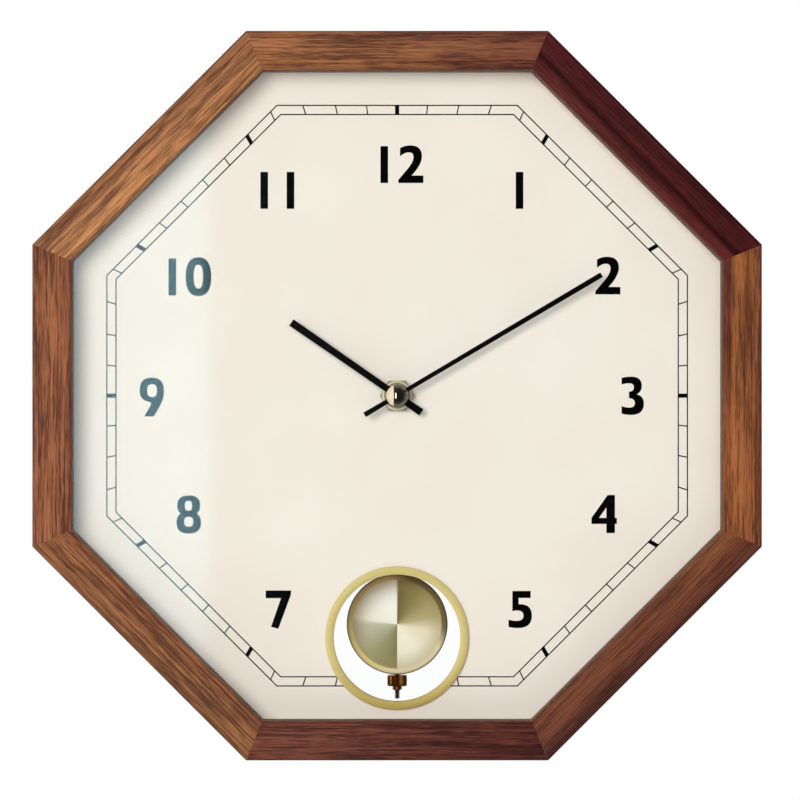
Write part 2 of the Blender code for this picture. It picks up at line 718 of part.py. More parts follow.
cannon_phase = 0.0
minute_phase = meshing(CANNON_TEETH, cannon_phase, MINUTE_WHEEL_AT, MINUTE_WHEEL_TEETH)
minute_pinion_phase = 0.0
hour_phase = meshing(
    MINUTE_PINION_TEETH, minute_pinion_phase, MINUTE_WHEEL_AT + math.pi, HOUR_WHEEL_TEETH
)
centre_phase = 0.0
third_pinion_phase = meshing(CENTRE_TEETH, centre_phase, THIRD_AT, THIRD_PINION_TEETH)
third_phase = 0.0
seconds_pinion_phase = meshing(
    THIRD_TEETH, third_phase, THIRD_AT + math.pi, SECONDS_PINION_TEETH
)
seconds_phase = 0.0
fifth_pinion_phase = meshing(SECONDS_TEETH, seconds_phase, FIFTH_AT, FIFTH_PINION_TEETH)
fifth_phase = 0.0
rotor_pinion_phase = meshing(FIFTH_TEETH, fifth_phase, ROTOR_AT, ROTOR_PINION_TEETH)

hour_wheel = solid(
    "hour_wheel",
    disc(HOUR_WHEEL_TEETH, HOUR_MODULE, hour_phase, HOUR_LEVEL, HAND_AXIS),
    WHEEL_WHITE,
    hour_axis,
)
join(hour_wheel, rod(PIPE_OUTER, PIPE_FRONT, HOUR_LEVEL + WHEEL_THICK / 2, 24))
cut(hour_wheel, rod(PIPE_INNER, PIPE_FRONT - GAP, HOUR_LEVEL + LEVEL, 24))

centre_wheel = solid(
    "centre_wheel",
    disc(CENTRE_TEETH, CENTRE_MODULE, centre_phase, CENTRE_LEVEL, HAND_AXIS),
    BRASS,
    minute_axis,
)
join(centre_wheel, rod(TUBE_OUTER, TUBE_FRONT, CENTRE_LEVEL + WHEEL_THICK / 2, 20))
join(
    centre_wheel,
    gear(
        CANNON_TEETH,
        MOTION_MODULE,
        cannon_phase,
        MINUTE_LEVEL - LEVEL_SPACE / 4,
        MINUTE_LEVEL + WHEEL_THICK,
    ),
)
cut(centre_wheel, rod(TUBE_INNER, TUBE_FRONT - GAP, THIRD_LEVEL, 20))

minute_wheel_axis = axis_empty("minute_wheel_axis", *MINUTE_WHEEL_AXIS)
at_minute_wheel = (MINUTE_WHEEL_AXIS[0], 0.0, MINUTE_WHEEL_AXIS[1])
KNOB_FRONT = CASE_BACK + GAP
minute_wheel = solid(
    "minute_wheel",
    disc(MINUTE_WHEEL_TEETH, MOTION_MODULE, minute_phase, MINUTE_LEVEL, MINUTE_WHEEL_AXIS),
    WHEEL_WHITE,
    minute_wheel_axis,
    origin=at_minute_wheel,
)
join(
    minute_wheel,
    gear(
        MINUTE_PINION_TEETH,
        HOUR_MODULE,
        minute_pinion_phase,
        HOUR_LEVEL - GAP / 2,
        MINUTE_LEVEL + WHEEL_THICK / 2,
        MINUTE_WHEEL_AXIS,
    ),
)
join(
    minute_wheel,
    rod(
        KNOB_ARBOR,
        MINUTE_LEVEL + WHEEL_THICK / 2,
        KNOB_FRONT + KNOB_THICK / 2,
        16,
        centre=MINUTE_WHEEL_AXIS,
    ),
)
knob = solid(
    "setting_knob",
    rod(KNOB_RADIUS, KNOB_FRONT, KNOB_FRONT + KNOB_THICK, 36, centre=MINUTE_WHEEL_AXIS),
    CASE_BLACK,
    minute_wheel_axis,
    origin=at_minute_wheel,
    smooth=True,
)
for grip in range(KNOB_GRIPS):
    edge = beside(MINUTE_WHEEL_AXIS, KNOB_RADIUS, math.tau * grip / KNOB_GRIPS)
    cut(
        knob,
        rod(KNOB_RADIUS / 8, KNOB_FRONT - GAP, KNOB_FRONT + KNOB_THICK + GAP, 6, centre=edge),
    )
cut(
    knob,
    rod(
        KNOB_ARBOR + GAP,
        KNOB_FRONT - GAP,
        KNOB_FRONT + KNOB_THICK / 2 + GAP,
        16,
        centre=MINUTE_WHEEL_AXIS,
    ),
)

# (name, wheel teeth, wheel phase, wheel level, pinion teeth, pinion module, pinion phase, level, axis)
for name, wheel, wheel_phase, level, leaves, leaf_module, leaf_phase, leaf_level, axis in (
    (
        "third_wheel",
        THIRD_TEETH,
        third_phase,
        THIRD_LEVEL,
        THIRD_PINION_TEETH,
        CENTRE_MODULE,
        third_pinion_phase,
        CENTRE_LEVEL,
        THIRD_AXIS,
    ),
    (
        "seconds_wheel",
        SECONDS_TEETH,
        seconds_phase,
        SECONDS_LEVEL,
        SECONDS_PINION_TEETH,
        TRAIN_MODULE,
        seconds_pinion_phase,
        THIRD_LEVEL,
        HAND_AXIS,
    ),
    (
        "fifth_wheel",
        FIFTH_TEETH,
        fifth_phase,
        FIFTH_LEVEL,
        FIFTH_PINION_TEETH,
        TRAIN_MODULE,
        fifth_pinion_phase,
        SECONDS_LEVEL,
        FIFTH_AXIS,
    ),
):
    own_axis = axis_empty(name + "_axis", *axis)
    made = solid(
        name,
        disc(wheel, TRAIN_MODULE, wheel_phase, level, axis),
        WHEEL_WHITE,
        own_axis,
        origin=(axis[0], 0.0, axis[1]),
    )
    leaf_start = leaf_level - GAP / 2
    leaf_end = level + WHEEL_THICK / 2
    join(made, gear(leaves, leaf_module, leaf_phase, leaf_start, leaf_end, axis))
    if axis == HAND_AXIS:
        join(made, rod(SECONDS_ARBOR, BUSH_FRONT, ARBOR_BACK, 12, centre=axis))
    else:
        join(made, rod(ARBOR, ARBOR_FRONT, ARBOR_BACK, 12, centre=axis))

rotor_axis = axis_empty("rotor_axis", *ROTOR_AXIS)
MAGNET_FRONT = CENTRE_LEVEL + GAP
MAGNET_BACK = MAGNET_FRONT + MAGNET_LENGTH
rotor = solid(
    "rotor",
    rod(MAGNET_RADIUS, MAGNET_FRONT, MAGNET_BACK, 24, centre=ROTOR_AXIS),
    MAGNET,
    rotor_axis,
    origin=(ROTOR_AXIS[0], 0.0, ROTOR_AXIS[1]),
    smooth=True,
)
join(
    rotor,
    gear(
        ROTOR_PINION_TEETH,
        TRAIN_MODULE,
        rotor_pinion_phase,
        MAGNET_BACK - GAP,
        FIFTH_LEVEL + WHEEL_THICK + GAP / 2,
        ROTOR_AXIS,
    ),
)
join(rotor, rod(ARBOR, ARBOR_FRONT, ARBOR_BACK, 12, centre=ROTOR_AXIS))

# ---- Movement case: a tray with a battery bay below, a train plate and a cover over the works
BAY_HEIGHT = 2 * (BATTERY_RADIUS + GAP)
HALF_CASE = WORKS_BELOW + BAY_HEIGHT + 2 * CASE_WALL
BAY_LOW = -HALF_CASE + CASE_WALL
BAY_TOP = BAY_LOW + BAY_HEIGHT
WORKS_LOW = BAY_TOP + CASE_WALL
WORKS_TOP = HALF_CASE - CASE_WALL
case = solid(
    "movement_case",
    prism(chamfered(HALF_CASE, -HALF_CASE, HALF_CASE, CASE_CORNER), CASE_FRONT, CASE_BACK),
    CASE_BLACK,
    CLOCK,
)
cut(
    case,
    box(
        (-HALF_CASE + CASE_WALL, CASE_INSIDE, WORKS_LOW),
        (HALF_CASE - CASE_WALL, CASE_BACK + GAP, WORKS_TOP),
    ),
)
cut(
    case,
    box(
        (-HALF_CASE - GAP, COVER_FRONT - GAP, WORKS_LOW - CASE_WALL / 2),
        (HALF_CASE + GAP, CASE_BACK + GAP, HALF_CASE + GAP),
    ),
)
cut(
    case,
    box(
        (-HALF_CASE + BAY_WALL, CASE_FRONT + BAY_FLOOR, BAY_LOW),
        (HALF_CASE - BAY_WALL, CASE_BACK + GAP, BAY_TOP),
    ),
)
cut(case, rod(BUSH_OUTER + GAP, CASE_FRONT - GAP, CASE_INSIDE + GAP, 24))

cover_low = WORKS_LOW - CASE_WALL / 2 + GAP
cover = solid(
    "rear_cover",
    prism(chamfered(HALF_CASE, cover_low, HALF_CASE, CASE_CORNER / 2), COVER_FRONT, CASE_BACK),
    CASE_BLACK,
    CLOCK,
)
train_plate = solid(
    "train_plate",
    box(
        (-HALF_CASE + CASE_WALL + GAP, PLATE_FRONT, WORKS_LOW + GAP),
        (HALF_CASE - CASE_WALL - GAP, PLATE_BACK, WORKS_TOP - GAP),
    ),
    WHEEL_WHITE,
    CLOCK,
)
through_plate = (PLATE_FRONT - GAP, PLATE_BACK + GAP)
cut(train_plate, rod(TUBE_OUTER + GAP, *through_plate, 20))
cut(train_plate, rod(KNOB_ARBOR + GAP, *through_plate, 16, centre=MINUTE_WHEEL_AXIS))
cut(
    cover,
    rod(KNOB_ARBOR + GAP, COVER_FRONT - GAP, CASE_BACK + GAP, 16, centre=MINUTE_WHEEL_AXIS),
)
for axis, radius in (
    (HAND_AXIS, SECONDS_ARBOR),
    (THIRD_AXIS, ARBOR),
    (FIFTH_AXIS, ARBOR),
    (ROTOR_AXIS, ARBOR),
):
    bearing = rod(
        radius + GAP, COVER_FRONT - GAP, COVER_FRONT + BEARING_DEPTH, 12, centre=axis
    )
    cut(cover, bearing)
    if axis != HAND_AXIS:
        cut(train_plate, rod(radius + GAP, *through_plate, 12, centre=axis))

# ---- Battery, lying across the case, between a flat contact and a leaf spring
battery_height = BAY_LOW + GAP + BATTERY_RADIUS
battery_depth = CASE_FRONT + BAY_FLOOR + GAP + BATTERY_RADIUS
positive_face = HALF_CASE - BAY_WALL - GAP - CONTACT_SHEET
battery_tip = positive_face - GAP
battery_end = battery_tip - BATTERY_NUB - BATTERY_LENGTH
battery_section = (
    (0.0, battery_tip),
    (BATTERY_NUB_RADIUS, battery_tip),
    (BATTERY_NUB_RADIUS, battery_tip - BATTERY_NUB),
    (BATTERY_RADIUS, battery_tip - BATTERY_NUB),
    (BATTERY_RADIUS, battery_end),
    (0.0, battery_end),
)
solid(
    "battery",
    turned(battery_section, 32, "X", (battery_depth, battery_height)),
    CELL,
    CLOCK,
    smooth=True,
)
contact_low = battery_height - BATTERY_RADIUS / 2
contact_high = battery_height + BATTERY_RADIUS / 2
contact_front = CASE_FRONT + BAY_FLOOR + GAP
solid(
    "battery_contact_positive",
    box(
        (positive_face, contact_front, contact_low),
        (positive_face + CONTACT_SHEET, CASE_BACK - GAP, contact_high),
    ),
    STEEL,
    CLOCK,
)
negative_wall = -HALF_CASE + BAY_WALL + GAP
spring_reach = min(battery_end - GAP, negative_wall + CONTACT_SHEET + CONTACT_SPRING)
leaf = (
    (negative_wall, contact_front),
    (negative_wall, CASE_BACK - GAP),
    (negative_wall + CONTACT_SHEET, CASE_BACK - GAP),
    (spring_reach, battery_depth),
    (spring_reach - CONTACT_SHEET, battery_depth),
    (negative_wall + CONTACT_SHEET, CASE_BACK - BATTERY_RADIUS / 2),
    (negative_wall + CONTACT_SHEET, contact_front),
)
solid(
    "battery_contact_negative",
    prism(leaf, contact_low, contact_high, axis="Z"),
    STEEL,
    CLOCK,
)

# ---- Stepping motor: stator plate, core and coil round the rotor's magnet
STATOR_LEFT = ROTOR_AXIS[0] - STATOR_WIDTH / 2
STATOR_RIGHT = STATOR_LEFT + STATOR_WIDTH
STATOR_LOW = ROTOR_AXIS[1] - STATOR_HEIGHT / 2
STATOR_TOP = STATOR_LOW + STATOR_HEIGHT
LEG_TOP = WORKS_TOP - 2.0 * MM
STATOR_FRONT = (MAGNET_FRONT + MAGNET_BACK - STATOR_SHEET) / 2
STATOR_BACK = STATOR_FRONT + STATOR_SHEET
stator_outline = (
    (STATOR_LEFT, STATOR_LOW),
    (STATOR_RIGHT, STATOR_LOW),
    (STATOR_RIGHT, LEG_TOP),
    (STATOR_RIGHT - STATOR_LEG, LEG_TOP),
    (STATOR_RIGHT - STATOR_LEG, STATOR_TOP),
    (STATOR_LEFT + STATOR_LEG, STATOR_TOP),
    (STATOR_LEFT + STATOR_LEG, LEG_TOP),
    (STATOR_LEFT, LEG_TOP),
)
stator = solid("stator", prism(stator_outline, STATOR_FRONT, STATOR_BACK), STEEL, CLOCK)
cut(
    stator,
    rod(MAGNET_RADIUS + AIR_GAP, STATOR_FRONT - GAP, STATOR_BACK + GAP, 24, centre=ROTOR_AXIS),
)
CORE_FRONT = STATOR_BACK + GAP
for leg in (STATOR_LEFT + STATOR_LEG / 2, STATOR_RIGHT - STATOR_LEG / 2):
    post = (leg, STATOR_LOW + STATOR_LEG / 2)
    join(train_plate, rod(STATOR_LEG / 3, PLATE_BACK - GAP, STATOR_FRONT - GAP, 16, centre=post))
core_middle = (CORE_FRONT + STATOR_SHEET / 2, LEG_TOP - CORE_HEIGHT / 2)
solid(
    "coil_core",
    box(
        (STATOR_LEFT, CORE_FRONT, LEG_TOP - CORE_HEIGHT),
        (STATOR_RIGHT, CORE_FRONT + STATOR_SHEET, LEG_TOP),
    ),
    STEEL,
    CLOCK,
)
coil_start = ROTOR_AXIS[0] - COIL_LENGTH / 2
coil_end = coil_start + COIL_LENGTH
coil_section = (
    (COIL_BORE, coil_start),
    (COIL_RADIUS + COIL_FLANGE, coil_start),
    (COIL_RADIUS + COIL_FLANGE, coil_start + COIL_FLANGE_THICK),
    (COIL_RADIUS, coil_start + COIL_FLANGE_THICK),
    (COIL_RADIUS, coil_end - COIL_FLANGE_THICK),
    (COIL_RADIUS + COIL_FLANGE, coil_end - COIL_FLANGE_THICK),
    (COIL_RADIUS + COIL_FLANGE, coil_end),
    (COIL_BORE, coil_end),
)
solid("motor_coil", turned(coil_section, 24, "X", core_middle), COPPER, CLOCK, smooth=True)

PCB_RIGHT = STATOR_LEFT - 2.0 * MM
PCB_LEFT = PCB_RIGHT - BOARD_SIDE
PCB_LOW = WORKS_TOP - GAP - BOARD_SIDE
PCB_FRONT = PLATE_BACK + GAP
PCB_BACK = PCB_FRONT + PCB_THICK
circuit = solid(
    "circuit_board",
    box((PCB_LEFT, PCB_FRONT, PCB_LOW), (PCB_RIGHT, PCB_BACK, WORKS_TOP - GAP)),
    GREEN,
    CLOCK,
)
chip_place = (PCB_RIGHT - BOARD_SIDE / 3, PCB_LOW + BOARD_SIDE / 2)
join(circuit, rod(CHIP_RADIUS, PCB_FRONT + GAP, PCB_BACK + CHIP_HEIGHT, 20, centre=chip_place))
crystal_place = (PCB_LEFT + BOARD_SIDE / 4, PCB_BACK + GAP + CRYSTAL_RADIUS)
crystal_low = PCB_LOW + (BOARD_SIDE - CRYSTAL_LENGTH) / 2
solid(
    "quartz_crystal",
    rod(CRYSTAL_RADIUS, crystal_low, crystal_low + CRYSTAL_LENGTH, 16, "Z", crystal_place),
    STEEL,
    CLOCK,
    smooth=True,
)

# ---- Pendulum drive: a housing on top of the case, open below, with a coil and a pivot pin
HOUSING_LOW = HALF_CASE + GAP
HOUSING_TOP = HOUSING_LOW + HOUSING_HEIGHT
HOUSING_BACK = -HOUSING_CLEAR
PIVOT_HEIGHT = HOUSING_TOP - PIVOT_BELOW_TOP
SWING_BACK = HOUSING_BACK - HOUSING_WALL
RIB_BACK = CASE_BACK - GAP
RIB_FRONT = RIB_BACK - HOUSING_WALL
half_inside = HOUSING_WIDTH / 2 - HOUSING_WALL
inside_top = HOUSING_TOP - HOUSING_WALL
housing = solid(
    "pendulum_housing",
    box(
        (-HOUSING_WIDTH / 2, CASE_FRONT, HOUSING_LOW),
        (HOUSING_WIDTH / 2, HOUSING_BACK, HOUSING_TOP),
    ),
    CASE_BLACK,
    CLOCK,
)
for front, back in ((CASE_FRONT + HOUSING_WALL, RIB_FRONT), (RIB_BACK, SWING_BACK)):
    hollow = box((-half_inside, front, HOUSING_LOW - GAP), (half_inside, back, inside_top))
    cut(housing, hollow)
pivot = (0.0, PIVOT_HEIGHT)
cut(housing, rod(PIN_RADIUS + GAP, RIB_FRONT - GAP, HOUSING_BACK + GAP, 16, centre=pivot))
solid(
    "pivot_pin",
    rod(PIN_RADIUS, RIB_FRONT + GAP, HOUSING_BACK - GAP, 16, centre=pivot),
    STEEL,
    CLOCK,
    smooth=True,
)
drive_place = (0.0, PIVOT_HEIGHT - DRIVE_BELOW_PIVOT)
solid(
    "drive_coil",
    tube(
        DRIVE_COIL_BORE,
        DRIVE_COIL_RADIUS,
        RIB_FRONT - GAP - DRIVE_COIL_LENGTH,
        RIB_FRONT - GAP,
        28,
        centre=drive_place,
    ),
    COPPER,
    CLOCK,
    smooth=True,
)

# ---- Swinging hanger, with the magnet that the coil drives and the peg that the rod hooks on
swing_axis = axis_empty("swing_axis", 0.0, PIVOT_HEIGHT)
at_pivot = (0.0, 0.0, PIVOT_HEIGHT)
ARM_BACK = -ROD_TO_WALL - ROD_RADIUS - GAP
ARM_FRONT = ARM_BACK - HANGER_THICK
peg = (0.0, HANGER_END)
arm_outline = (
    (-HANGER_ARM / 2, HANGER_END - PEG_RADIUS - HOUSING_WALL / 2),
    (HANGER_ARM / 2, HANGER_END - PEG_RADIUS - HOUSING_WALL / 2),
    (HANGER_ARM / 2, PIVOT_HEIGHT),
    (-HANGER_ARM / 2, PIVOT_HEIGHT),
)
hanger = solid(
    "pendulum_hanger",
    prism(arm_outline, ARM_FRONT, ARM_BACK),
    CASE_BLACK,
    swing_axis,
    origin=at_pivot,
)
join(hanger, rod(HANGER_BOSS + GAP, RIB_BACK + GAP, SWING_BACK - GAP, 24, centre=pivot))
join(hanger, rod(PEG_RADIUS, ARM_BACK - GAP, -ROD_TO_WALL + EYE_THICK + GAP, 16, centre=peg))
cut(hanger, rod(PIN_RADIUS + GAP, RIB_BACK - GAP, SWING_BACK + GAP, 16, centre=pivot))
solid(
    "drive_magnet",
    rod(DRIVE_MAGNET, RIB_BACK + GAP, ARM_FRONT - GAP, 24, centre=drive_place),
    MAGNET,
    swing_axis,
    origin=at_pivot,
    smooth=True,
)

# ---- Pendulum rod, bob and rating nut
BOB_LOW = -BOB_DROP - BOB_RADIUS
NUT_TOP = BOB_LOW - GAP
NUT_LOW = NUT_TOP - RATING_HEIGHT
COLLAR_LOW = NUT_LOW - RATING_COLLAR_HEIGHT
ROD_END = COLLAR_LOW - THREAD_BELOW_NUT
rod_place = (0.0, -ROD_TO_WALL)
pendulum_rod = solid(
    "pendulum_rod",
    rod(ROD_RADIUS, ROD_END, HANGER_END - EYE_RADIUS + GAP, 16, "Z", rod_place),
    STEEL,
    swing_axis,
    origin=at_pivot,
    smooth=True,
)
eye_start = -ROD_TO_WALL - EYE_THICK / 2
join(pendulum_rod, rod(EYE_RADIUS, eye_start, eye_start + EYE_THICK, 24, centre=peg))
cut(
    pendulum_rod,
    rod(PEG_RADIUS + GAP, eye_start - GAP, eye_start + EYE_THICK + GAP, 16, centre=peg),
)

BOB_BACK = -ROD_TO_WALL + ROD_RADIUS + GAP / 2
BOB_FRONT = BOB_BACK - BOB_DEPTH
FACE_EDGE = BOB_FRONT + BOB_CROWN
BEVEL_EDGE = FACE_EDGE + BOB_BEVEL * 0.6
bob_centre = (0.0, -BOB_DROP)
at_bob = (0.0, 0.0, -BOB_DROP)
bob_axis = axis_empty("bob_axis", 0.0, -BOB_DROP)


def dished(radius, depth_offset, bevel, steps=3):
    """The crowned face and its bevelled edge, from the centre outwards."""
    flat = radius - bevel
    crown = [
        (flat * step / steps, BOB_FRONT + depth_offset + BOB_CROWN * (step / steps) ** 2)
        for step in range(steps + 1)
    ]
    return crown + [(radius - bevel * 0.2, BEVEL_EDGE + depth_offset * 0.6)]


face_outer = dished(BOB_RADIUS, 0.0, BOB_BEVEL) + [
    (BOB_RADIUS, BEVEL_EDGE + BOB_SHEET),
    (BOB_RADIUS, BOB_BACK),
]
face_inner = dished(BOB_RADIUS - BOB_SHEET, BOB_SHEET, BOB_BEVEL) + [
    (BOB_RADIUS - BOB_SHEET, BEVEL_EDGE + 2 * BOB_SHEET),
    (BOB_RADIUS - BOB_SHEET, BOB_BACK),
]
bob_face = solid(
    "bob_face",
    turned(face_outer + face_inner[::-1], 40, centre=bob_centre),
    SPUN,
    bob_axis,
    origin=at_bob,
    smooth=True,
)
weight_section = dished(BOB_RADIUS - BOB_SHEET - GAP, BOB_SHEET + GAP * 1.5, BOB_BEVEL) + [
    (BOB_RADIUS - BOB_SHEET - GAP, BEVEL_EDGE + 2 * BOB_SHEET + GAP),
    (BOB_RADIUS - BOB_SHEET - GAP, BOB_BACK),
    (0.0, BOB_BACK),
]
bob_weight = solid(
    "bob_weight",
    turned(weight_section, 40, centre=bob_centre),
    ZINC,
    bob_axis,
    origin=at_bob,
    smooth=True,
)
channel = (ROD_RADIUS + GAP, -ROD_TO_WALL - ROD_RADIUS - GAP)
for half in (bob_face, bob_weight):
    cut(
        half,
        box(
            (-channel[0], channel[1], -BOB_DROP - 2 * BOB_RADIUS),
            (channel[0], 0.0, -BOB_DROP + 2 * BOB_RADIUS),
        ),
    )

nut_axis = axis_empty("rating_nut_axis", 0.0, NUT_LOW)
rating_section = (
    (ROD_RADIUS + GAP, NUT_TOP),
    (RATING_RADIUS, NUT_TOP),
    (RATING_RADIUS, NUT_LOW),
    (RATING_COLLAR, NUT_LOW - GAP),
    (RATING_COLLAR, COLLAR_LOW),
    (ROD_RADIUS + GAP, COLLAR_LOW),
)
solid(
    "rating_nut",
    turned(rating_section, 32, "Z", rod_place),
    BRASS,
    nut_axis,
    origin=(0.0, -ROD_TO_WALL, NUT_LOW),
    smooth=True,
)
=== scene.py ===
import json
import math

import bmesh
import bpy
from mathutils import Matrix, Vector


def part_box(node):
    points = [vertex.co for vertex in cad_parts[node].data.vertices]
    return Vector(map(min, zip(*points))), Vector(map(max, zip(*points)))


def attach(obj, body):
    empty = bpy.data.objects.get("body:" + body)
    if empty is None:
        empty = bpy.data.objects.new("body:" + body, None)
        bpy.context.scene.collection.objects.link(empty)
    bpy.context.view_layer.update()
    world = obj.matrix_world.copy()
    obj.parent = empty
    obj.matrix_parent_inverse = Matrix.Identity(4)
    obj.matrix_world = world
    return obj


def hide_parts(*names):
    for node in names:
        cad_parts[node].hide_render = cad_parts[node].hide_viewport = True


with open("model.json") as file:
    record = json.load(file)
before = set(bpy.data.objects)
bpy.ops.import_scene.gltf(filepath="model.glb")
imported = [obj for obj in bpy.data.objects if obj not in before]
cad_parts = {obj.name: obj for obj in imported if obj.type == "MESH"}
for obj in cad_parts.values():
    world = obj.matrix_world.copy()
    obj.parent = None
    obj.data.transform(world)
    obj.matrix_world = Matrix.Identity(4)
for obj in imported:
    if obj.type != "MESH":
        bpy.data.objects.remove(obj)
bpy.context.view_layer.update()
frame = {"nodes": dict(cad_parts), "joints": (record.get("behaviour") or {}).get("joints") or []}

# ---- Frame rails ----
# Eight rebated sticks of walnut, each cut from another board, mitred and glued into an octagon.
# Their front edges are eased with sandpaper, and the wood is oiled to a low satin.
MM = 0.001
SIDES = 8
hub = Vector(next(j for j in frame["joints"] if j["child"] == "minute")["pos_m"])
hub.y = 0.0
front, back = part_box("rail_top")[0].y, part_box("rail_top")[1].y
rail_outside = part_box("rail_top")[1].z - hub.z
rail_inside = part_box("rail_top")[0].z - hub.z
GLASS_SLACK = 0.3 * MM
EASED = 1.1 * MM
ARRIS = 0.14 * MM
MITRE_GAP = 0.01 * MM
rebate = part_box("glass_pane")[1].z - hub.z + GLASS_SLACK
lip_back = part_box("glass_pane")[0].y - GLASS_SLACK


class Reading:
    """What a shader socket reads from place to place. Sums written with it add Math nodes."""

    def __init__(self, finish, socket):
        self.finish = finish
        self.socket = socket

    def maths(self, operation, *terms):
        return self.finish.node("Math", {"operation": operation}, dict(enumerate(terms)))

    def __add__(self, other):
        return self.maths("ADD", self, other)

    __radd__ = __add__

    def __sub__(self, other):
        return self.maths("SUBTRACT", self, other)

    def __rsub__(self, other):
        return self.maths("SUBTRACT", other, self)

    def __mul__(self, other):
        return self.maths("MULTIPLY", self, other)

    __rmul__ = __mul__

    def __truediv__(self, other):
        return self.maths("DIVIDE", self, other)

    def __pow__(self, other):
        return self.maths("POWER", self, other)

    def wave(self):
        """Swings between 0 and 1 as the reading, in radians, goes round."""
        return self.maths("SINE", self) * 0.5 + 0.5

    def between(self, low, high):
        """Rises smoothly from 0 to 1 as the reading goes from low to high."""
        return self.finish.node(
            "MapRange",
            {"interpolation_type": "SMOOTHSTEP"},
            {"Value": self, "From Min": low, "From Max": high},
        )


class Finish:
    """A material with one Principled shader, and the nodes that vary it."""

    def __init__(self, name, **levels):
        self.material = bpy.data.materials.new(name)
        self.material.use_nodes = True
        self.tree = self.material.node_tree
        self.shader = self.tree.nodes["Principled BSDF"]
        self.put(**levels)

    def node(self, kind, settings=None, sockets=None, output=0):
        made = self.tree.nodes.new("ShaderNode" + kind)
        for name, value in (settings or {}).items():
            if name == "stops":
                stops = made.color_ramp.elements
                while len(stops) < len(value):
                    stops.new(1.0)
                for stop, (position, colour) in zip(stops, value):
                    stop.position = position
                    stop.color = colour
            else:
                setattr(made, name, value)
        for name, value in (sockets or {}).items():
            self.feed(made.inputs[name], value)
        return Reading(self, made.outputs[output])

    def feed(self, socket, value):
        if isinstance(value, Reading):
            self.tree.links.new(value.socket, socket)
        else:
            socket.default_value = value

    def put(self, **levels):
        for name, value in levels.items():
            self.feed(self.shader.inputs[name.replace("_", " ").title().replace("Ior", "IOR")], value)
        return self

    def grained(self, share, low, high, roughness, rise):
        """Colour and roughness that follow one reading."""
        return self.put(base_color=self.mix(share, low, high), roughness=roughness + share * rise)

    def place(self, centre=(0.0, 0.0, 0.0), turn=0.0):
        """Metres from a centre, on axes turned about Y."""
        spot = self.node("TexCoord", output=3)
        return self.node(
            "Mapping",
            {"vector_type": "TEXTURE"},
            {"Vector": spot, "Location": centre, "Rotation": (0.0, turn, 0.0)},
        )

    def axes(self, point):
        parts = self.node("SeparateXYZ", sockets={0: point}).socket.node
        return [Reading(self, socket) for socket in parts.outputs]

    def noise(self, point, per_metre, detail=2.0, seed=0.0):
        """Noise with so many cells to a metre, the same along each axis or not."""
        cells = per_metre if isinstance(per_metre, tuple) else (per_metre,) * 3
        scaled = self.node(
            "VectorMath", {"operation": "MULTIPLY_ADD"}, {0: point, 1: cells, 2: (seed, seed, seed)}
        )
        return self.node("TexNoise", sockets={"Vector": scaled, "Scale": 1.0, "Detail": detail})

    def mix(self, share, low, high, blend="MIX"):
        return self.node(
            "Mix",
            {"data_type": "RGBA", "blend_type": blend, "clamp_factor": True},
            {0: share, 6: low, 7: high},
            output=2,
        )

    def scaled(self, colour, amount):
        return self.node("VectorMath", {"operation": "SCALE"}, {0: colour, "Scale": amount})

    def raised(self, height, depth, strength=1.0):
        """Relief of a height from 0 to 1 that stands up by a depth in metres."""
        relief = self.node("Bump", sockets={"Height": height, "Distance": depth, "Strength": strength})
        return self.put(normal=relief)


def rgb(red, green, blue):
    """A colour as it is seen on a screen, made linear."""
    levels = [level / 255 for level in (red, green, blue)]
    linear = [((v + 0.055) / 1.055) ** 2.4 if v > 10 / 255 else v / 12.92 for v in levels]
    return (*linear, 1.0)


def piece(name, bm, finish, body, slot, *nodes, sharp=32.0, smooth=True):
    """A finished piece at the origin, riding on a body and standing for the nodes it replaces."""
    bmesh.ops.remove_doubles(bm, verts=bm.verts, dist=1e-7)
    bmesh.ops.recalc_face_normals(bm, faces=bm.faces)
    mesh = bpy.data.meshes.new(name)
    bm.to_mesh(mesh)
    bm.free()
    if smooth:
        mesh.shade_smooth()
        mesh.set_sharp_from_angle(angle=math.radians(sharp))
    mesh.materials.append(finish.material)
    made = bpy.data.objects.new(name, mesh)
    bpy.context.scene.collection.objects.link(made)
    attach(made, body)
    if nodes:
        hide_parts(*nodes)
    return made


def turn_by(bm, verts, angle, axis):
    """Turns corners about an axis through the origin."""
    bmesh.ops.rotate(bm, verts=verts, cent=(0, 0, 0), matrix=Matrix.Rotation(angle, 3, axis))


def rounded(bm, edges, width, segments, **options):
    options |= {"segments": segments, "profile": 0.5, "affect": "EDGES", "material": -1}
    bmesh.ops.bevel(bm, geom=edges, offset=width, **options)


def moved(bm, by):
    bmesh.ops.translate(bm, verts=bm.verts, vec=by)


def corners_in(geometry):
    return [part for part in geometry if isinstance(part, bmesh.types.BMVert)]


def extruded(bm, faces, by):
    """Pulls flat faces out into a solid."""
    pulled = bmesh.ops.extrude_face_region(bm, geom=faces)["geom"]
    bmesh.ops.translate(bm, verts=corners_in(pulled), vec=by)


